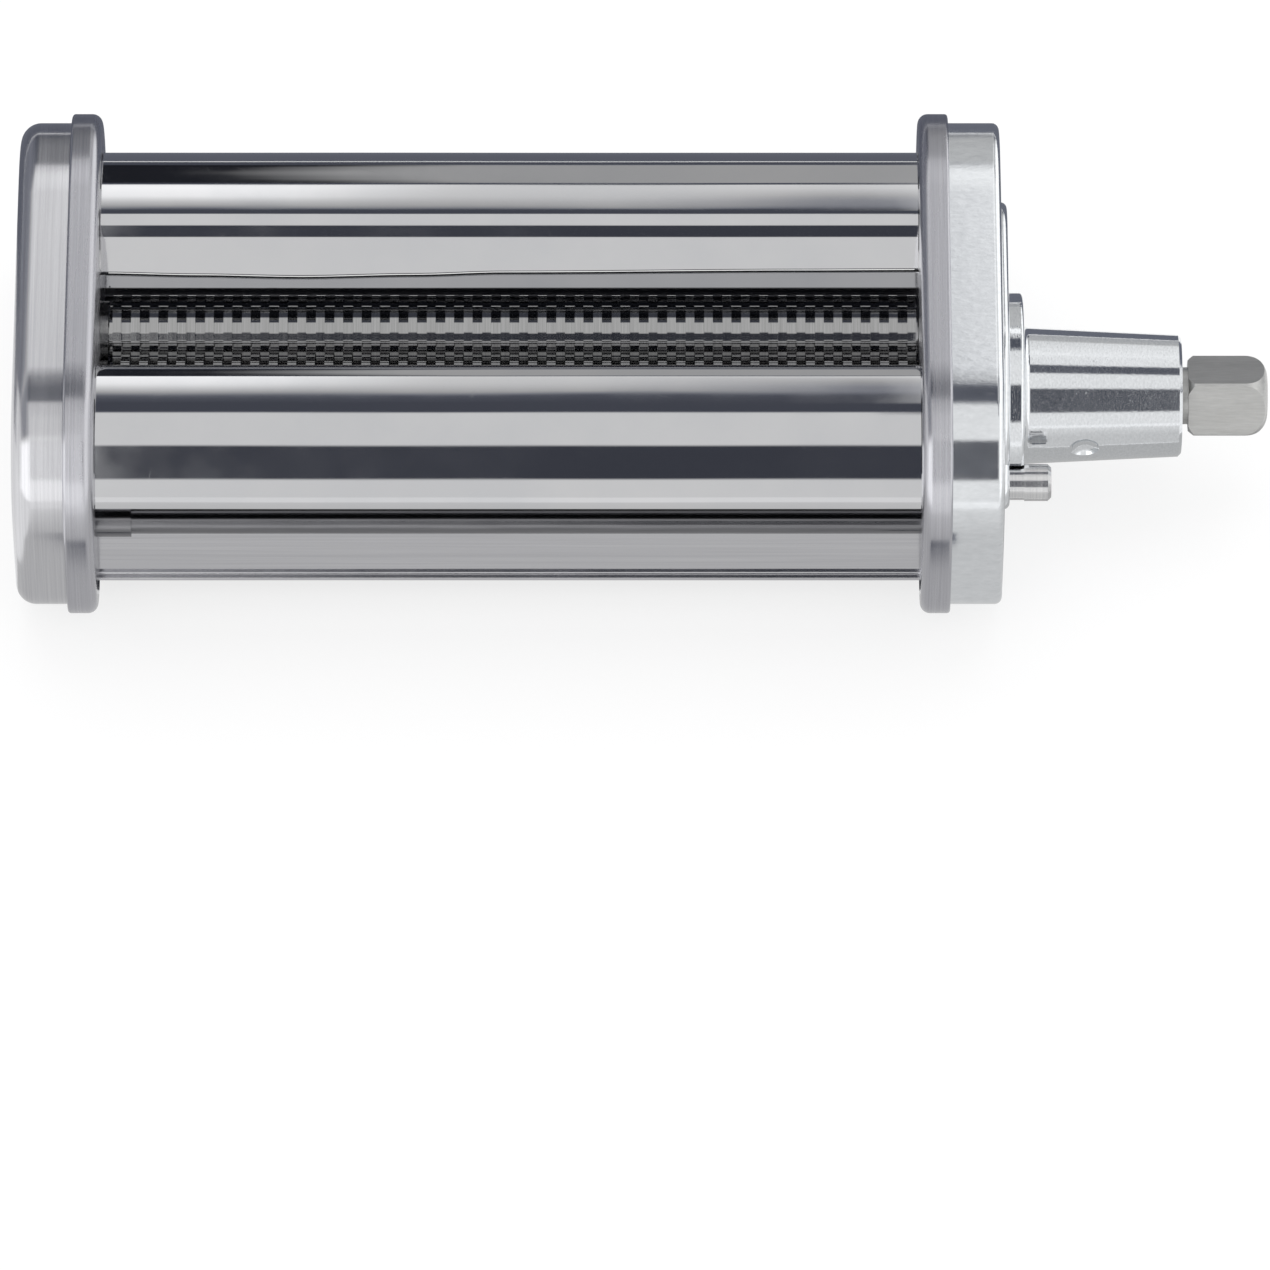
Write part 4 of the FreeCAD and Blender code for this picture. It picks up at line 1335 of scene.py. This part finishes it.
@dataclass
class DriveEnd(SubAssembly):
    """The hub, its bushes and screws, the locating pin, the drive shaft and the gears."""

    solids: ClassVar[Dressing] = (
        (CAST_POLISH, ("drive_hub",)),
        (PIN_STEEL, ("locating_pin",)),
        (SHAFT_STEEL, ("drive_shaft", "front_gear", "rear_gear", "front_gear_key", "rear_gear_key")),
        (BUSH_METAL, ("hub_inner_bush", "hub_outer_bush")),
        (ZINC_STEEL, ("hub_screws", "drive_shaft_ring", "rear_gear_ring")))
    dish_place: float = 12.2 * MM
    dish_floor: float = -10.77 * MM
    dish_slope: float = 2.2 / 3.0
    dish_rim: float = 2.45 * MM
    dish_radius: float = 4.1 * MM
    dish_lift: float = 0.1 * MM
    dish_root: float = 0.3 * MM
    dish_steps: int = 12
    dish_turns: int = 48

    def sag(self, reach: float) -> float:
        """Rise of the dish's round floor at a distance from its middle."""
        return self.dish_radius - math.sqrt(self.dish_radius ** 2 - reach ** 2)

    def build(self) -> None:
        """Builds the smooth round floor of the dimple that takes the mixer's thumb screw."""
        rim, step = self.dish_rim, self.dish_rim / self.dish_steps
        base = self.dish_slope * rim + self.dish_lift - self.sag(rim)
        profile = [(step * k, base + self.sag(step * k)) for k in range(1, self.dish_steps + 1)]
        profile += [(reach, self.dish_slope * reach - self.dish_root) for reach in (rim, step)]
        turns = [2 * math.pi * k / self.dish_turns for k in range(self.dish_turns)]
        shop = MeshShop()
        shop.bar([shop.number([(self.dish_place + reach * math.cos(turn), self.dish_floor - rise,
                                reach * math.sin(turn)) for turn in turns]) for reach, rise in profile])
        self.keep(shop.closed("thumb_screw_dish"), CAST_POLISH, Slot.PLATED_HUB)


@dataclass
class CutterPair(SubAssembly):
    """The two grooved cutters with the bushes, washers and rings on their journals, and the combs."""

    solids: ClassVar[Dressing] = (
        (CUTTER_STEEL, ("front_cutter", "rear_cutter")),
        (BUSH_METAL, ("front_left_bush", "front_right_bush", "rear_left_bush", "rear_right_bush")),
        (ZINC_STEEL, ("front_thrust_washer", "rear_thrust_washer", "front_left_ring", "rear_left_ring")),
        (COMB_PLASTIC, ("front_comb", "rear_comb")))


@dataclass
class TieRods(SubAssembly):
    """The rods that draw the side frames together, with their sleeves and nuts."""

    solids: ClassVar[Dressing] = (
        (ROD_STEEL, ("front_tie_rod", "rear_tie_rod", "lower_tie_rods",
                     "front_rod_sleeve", "rear_rod_sleeve")),
        (ZINC_STEEL, ("left_rod_nuts", "right_rod_nuts")))


@dataclass(frozen=True)
class FloorCard:
    """A card on the floor: its ends along X, its height over the floor and its tones across Y."""

    name: str
    ends: Point
    lift: float
    tones: Table


WHOLE_FLOOR: Point = (-2.0, 2.0)
CARD_LIFT = 1.0 * MM
UPPER_LIFT = 1.5 * MM
FRAME_TONES: Table = ((-0.0605, 0.60), (-0.0635, 0.15), (-0.0745, 0.12), (-0.079, 0.70))


@dataclass
class Studio:
    """A pale floor, one soft sun, an even white world, a drum of soft reflectors and the camera."""

    floor_height: float = -21.7 * MM
    floor_reach: float = 8.0
    floor_colour: Triple = (0.96, 0.96, 0.965)
    floor_speckle: Triple = (0.97, 0.97, 0.975)
    floor_noise: NoiseLayer = NoiseLayer(60.0, 2.0, 0.5)
    floor_roughness: float = 0.9
    floor_glow: float = 0.76
    sky_diffuse: float = 0.98
    sky_seen: float = 1.0
    sun_strength: float = 0.95
    sun_spread: float = 55.0
    sun_tilt: float = -36.0
    drum_radius: float = 6.0
    drum_reach: float = 9.0
    drum_middle: Point = (7.3 * MM, 20.0 * MM)
    drum_span: Point = (-12.0, 180.0)
    drum_step: float = 0.25
    drum_edge: Table = (
        (110.0, -0.435), (126.0, -0.26), (137.0, -0.225), (145.0, -0.27), (155.0, -0.295), (165.0, -0.27),
        (172.0, -0.212))
    drum_edge_soft: float = 0.045
    drum_far: tuple[float, ...] = (-2.2, -1.9, -0.505, -0.485)
    drum_places: tuple[float, ...] = (-0.07, 0.06, 0.105, 0.13, 0.35, 0.6, 1.05, 1.2, 2.4, 2.8)
    right_side_tones: Table = ((-12.0, 1.3), (180.0, 1.3))
    side_tones: Table = (
        (-12.0, 1.7), (62.0, 1.7), (72.0, 0.35), (126.0, 0.35), (131.0, 1.1), (136.0, 0.25), (180.0, 0.25))
    far_tones: Table = (
        (-12.0, 1.7), (62.0, 1.7), (72.0, 0.9), (106.7, 0.9), (109.2, 0.09), (124.5, 0.09), (127.0, 1.2),
        (133.5, 1.5), (136.5, 0.12), (180.0, 0.12))
    left_tones: Table = (
        (-12.0, 0.9), (106.7, 0.9), (109.2, 0.09), (122.5, 0.09), (124.6, 0.14), (125.6, 0.62),
        (127.2, 0.98), (128.6, 1.35), (131.0, 1.5), (133.6, 1.45), (134.3, 0.10), (136.2, 0.10),
        (137.2, 0.02), (171.5, 0.02), (173.0, 0.10), (178.0, 0.10), (180.0, 0.15))
    middle_tones: Table = (
        (-12.0, 0.9), (106.7, 0.9), (109.2, 0.09), (122.5, 0.09), (124.6, 0.12), (125.6, 0.57),
        (127.2, 0.73), (128.6, 0.85), (131.0, 0.92), (133.6, 0.95), (134.3, 0.10), (136.2, 0.10),
        (137.2, 0.5), (171.5, 0.5), (173.0, 0.10), (178.0, 0.10), (180.0, 0.15))
    right_tones: Table = (
        (-12.0, 0.9), (106.7, 0.9), (109.2, 0.09), (122.5, 0.09), (124.6, 0.10), (125.6, 0.28),
        (127.2, 0.31), (128.6, 0.45), (131.0, 0.9), (133.6, 1.03), (134.3, 0.10), (136.2, 0.10),
        (137.2, 0.5), (171.5, 0.5), (173.0, 0.10), (178.0, 0.10), (180.0, 0.15))
    cap_tones: Table = (
        (-12.0, 0.9), (103.5, 0.9), (106.0, 0.09), (119.5, 0.09), (122.0, 0.95), (127.0, 1.15),
        (133.5, 1.3), (136.5, 0.6), (180.0, 0.5))
    hub_tones: Table = (
        (-12.0, 0.9), (91.0, 0.9), (93.5, 0.09), (106.0, 0.09), (108.5, 0.95), (134.0, 1.0), (160.0, 0.9),
        (163.0, 0.5), (180.0, 0.4))
    shade_blue: float = 0.32
    shade_red: float = 0.08
    shade_end: float = 0.5
    front_card_radius: float = 5.9
    front_card_tone: float = 0.065
    front_card_rim: float = 0.9
    front_card_turns: tuple[float, ...] = (22.0, 25.0, 63.5, 66.5)
    front_card_places: tuple[tuple[float, ...], ...] = (
        (-0.445, -0.425, 0.31, 0.37), (0.50, 0.56, 1.0, 1.06))
    floor_cards: tuple[FloorCard, ...] = (
        # Painted shade: the floor in front, as seen in polished surfaces, is greyer close to the
        # attachment for its contact shadow and lightens further out.
        FloorCard("stage_front_floor_painted_shade", WHOLE_FLOOR, CARD_LIFT, (
            (-0.0335, 0.64), (-0.064, 0.64), (-0.076, 0.66), (-0.12, 0.74), (-0.3, 0.85))),
        FloorCard("stage_rear_floor", WHOLE_FLOOR, CARD_LIFT, ((0.0585, 0.16), (1.2, 0.16))),
        # Painted shade: a near-black card under the attachment, seen only in polished surfaces, stands for
        # the shadow on the floor beneath it.
        FloorCard("stage_under_floor_painted_shade", (-0.1825, -0.0205), CARD_LIFT, ((-0.0325, 0.02), (0.0475, 0.02))),
        # Painted shade: a mid-grey card on the floor under the hub, seen only in polished surfaces, stands
        # for the hub's shadow there.
        FloorCard("stage_hub_floor_painted_shade", (-0.003, 0.06), CARD_LIFT, ((-0.0325, 0.5), (0.02, 0.5))),
        FloorCard("stage_left_floor", (-2.0, -0.212), UPPER_LIFT, ((-0.0335, 1.1), (-0.3, 1.1))),
        FloorCard("stage_left_frame_floor", (-0.190, -0.176), UPPER_LIFT, FRAME_TONES),
        FloorCard("stage_right_frame_floor", (-0.027, -0.013), UPPER_LIFT, FRAME_TONES))
    camera_place: Triple = (-0.07667, -1.64735, 2.19494)
    camera_tilt: float = 35.9
    camera_lens: float = 393.0
    camera_sensor: float = 36.0
    camera_range: float = 40.0

    def build(self) -> None:
        """Builds floor, light, reflectors and camera."""
        self._floor()
        self._world()
        self._sun()
        self._drum()
        for number, places in enumerate(self.front_card_places):
            self._front_card(f"stage_front_card_{number}", places)
        for card in self.floor_cards:
            self._floor_card(card)
        self._camera()

    def _floor(self) -> None:
        """A plain pale floor under the feet of the side frames."""
        mesh = bpy.data.meshes.new("stage_floor")
        reach, z = self.floor_reach, self.floor_height
        mesh.from_pydata([(-reach, -reach, z), (reach, -reach, z), (reach, reach, z), (-reach, reach, z)],
                         [], [(0, 1, 2, 3)])
        floor = linked("stage_floor", mesh)
        bench = SurfaceBench("stage_floor")
        speckle = bench.noise(bench.place, self.floor_noise)
        bench.feed(bench.shader, {
            "Base Color": bench.tint(speckle, self.floor_colour, self.floor_speckle),
            "Roughness": self.floor_roughness, "Specular IOR Level": 0.0})
        mixed = bench.add("ShaderNodeMixShader", {
            "Fac": bench.math("MULTIPLY", self._seen(bench), self.floor_glow),
            1: bench.shader.outputs["BSDF"], 2: bench.add("ShaderNodeEmission").outputs["Emission"]})
        bench.feed(bench.output, {"Surface": mixed.outputs["Shader"]})
        mesh.materials.append(bench.material)

    @staticmethod
    def _seen(bench: NodeBench) -> Socket:
        """A value that is 1 where the camera sees a surface, directly, in metal or through glass.

        Args:
            bench: The bench of the material or world.

        Returns:
            The socket of the value.
        """
        rays = bench.add("ShaderNodeLightPath").outputs
        seen = bench.math("MAXIMUM", rays["Is Camera Ray"], rays["Is Glossy Ray"])
        return bench.math("MAXIMUM", seen, rays["Is Transmission Ray"])

    def _world(self) -> None:
        """An even sky: white where it is seen, directly or in metal, and softer as light."""
        world = bpy.data.worlds.new("even_sky")
        bench = NodeBench(cleared(world))
        strength = bench.spread(self._seen(bench), self.sky_diffuse, self.sky_seen)
        sky = bench.add("ShaderNodeBackground", {"Color": (1.0, 1.0, 1.0, 1.0), "Strength": strength})
        bench.add("ShaderNodeOutputWorld", {"Surface": sky.outputs["Background"]})
        bpy.context.scene.world = world

    def _sun(self) -> None:
        """A very soft light from above and behind, which throws the shadow forwards."""
        lamp = bpy.data.lights.new("soft_sun", "SUN")
        lamp.energy = self.sun_strength
        lamp.angle = math.radians(self.sun_spread)
        sun = linked("soft_sun", lamp)
        sun.rotation_euler = (math.radians(self.sun_tilt), 0.0, 0.0)
        sun.visible_glossy = False

    @staticmethod
    def _glow(name: str) -> bpy.types.Material:
        """A self-lit reflector cloth whose tone is painted on its mesh.

        Args:
            name: Name of the material.

        Returns:
            The material.
        """
        material = bpy.data.materials.new(name)
        bench = NodeBench(cleared(material))
        tone = bench.add("ShaderNodeAttribute", attribute_name="tone")
        glow = bench.add("ShaderNodeEmission", {"Color": tone.outputs["Color"]})
        bench.add("ShaderNodeOutputMaterial", {"Surface": glow.outputs["Emission"]})
        return material

    def _reflector(self, name: str, rows: list[list[Triple]], tones: list[list[float]]) -> None:
        """Adds a reflector that only shows in polished surfaces.

        Args:
            name: Name of the reflector.
            rows: Points of its surface, row by row.
            tones: Tone of each point, which is cooler where it is dark.
        """
        width = len(rows[0])
        mesh = bpy.data.meshes.new(name)
        faces = [(r * width + c, r * width + c + 1, (r + 1) * width + c + 1, (r + 1) * width + c)
                 for r in range(len(rows) - 1) for c in range(width - 1)]
        mesh.from_pydata([point for row in rows for point in row], [], faces)
        paint = mesh.attributes.new("tone", "FLOAT_COLOR", "POINT")
        for index, tone in enumerate(value for row in tones for value in row):
            dark = max(0.0, 1 - tone / self.shade_end)
            paint.data[index].color = (
                tone * (1 - self.shade_red * dark), tone, tone * (1 + self.shade_blue * dark), 1.0)
        mesh.materials.append(self._glow(name))
        card = linked(name, mesh)
        for ray in ("camera", "diffuse", "shadow", "transmission", "volume_scatter"):
            setattr(card, f"visible_{ray}", False)

    def _on_drum(self, radius: float, angle: float, x: float) -> Triple:
        """A point round the attachment.

        Args:
            radius: Distance from the drum's axis.
            angle: Angle over the front horizon.
            x: Place along the axis.

        Returns:
            The point, kept over the floor.
        """
        turn = math.radians(angle)
        y, z = self.drum_middle
        height = z + radius * math.sin(turn)
        return x, y - radius * math.cos(turn), max(height, self.floor_height + CARD_LIFT)

    def _drum(self) -> None:
        """The reflectors round the attachment, from the front floor over the top to the rear floor."""
        low, high = self.drum_span
        tables = (self.side_tones, self.far_tones, self.left_tones, self.middle_tones, self.right_tones,
                  self.cap_tones, self.hub_tones, self.middle_tones, self.right_side_tones)
        rows, tones = [], []
        for k in range(round((high - low) / self.drum_step) + 1):
            angle = low + self.drum_step * k
            edge = read_table(self.drum_edge, angle, True)
            columns = (-self.drum_reach, *self.drum_far, edge - self.drum_edge_soft,
                       edge + self.drum_edge_soft, *self.drum_places, self.drum_reach)
            rows.append([self._on_drum(self.drum_radius, angle, x) for x in columns])
            tones.append([tone for table in tables for tone in [read_table(table, angle)] * 2])
        self._reflector("stage_reflector_drum", rows, tones)

    def _front_card(self, name: str, places: Sequence[float]) -> None:
        """A dark card in front, whose soft rim runs into the drum's tone.

        Args:
            name: Name of the card.
            places: Where its rim and its dark part start and end along X.
        """
        first, start, end, last = self.front_card_turns
        count = round((end - start) / self.drum_step)
        turns = [first, *(start + (end - start) * k / count for k in range(count + 1)), last]
        rows = [[self._on_drum(self.front_card_radius, turn, x) for x in places] for turn in turns]
        rim, dark = self.front_card_rim, self.front_card_tone
        edge, across = [rim] * len(places), [rim, dark, dark, rim]
        self._reflector(name, rows, [edge, *(across for _ in turns[1:-1]), edge])

    def _floor_card(self, card: FloorCard) -> None:
        """Lays a card on the floor."""
        rows = [[(x, y, self.floor_height + card.lift) for x in card.ends] for y, _ in card.tones]
        self._reflector(card.name, rows, [[tone] * len(card.ends) for _, tone in card.tones])

    def _camera(self) -> None:
        """The camera at the photograph's angle."""
        lens = bpy.data.cameras.new("camera")
        lens.lens = self.camera_lens
        lens.sensor_width = self.camera_sensor
        lens.clip_end = self.camera_range
        camera = linked("camera", lens)
        camera.location = self.camera_place
        camera.rotation_euler = (math.radians(self.camera_tilt), 0.0, 0.0)
        bpy.context.scene.camera = camera


def main() -> None:
    """Builds and dresses every sub-assembly, then the studio."""
    logging.basicConfig(level=logging.INFO, format="%(name)s: %(message)s")
    bpy.context.scene.view_settings.view_transform = "Standard"
    shop = FinishShop(EffectLibrary())
    for assembly in (SheetPanels(), EndCaps(), DriveEnd(), CutterPair(), TieRods()):
        assembly.build()
        assembly.dress(shop)
    Studio().build()


if __name__ == "__main__":
    main()
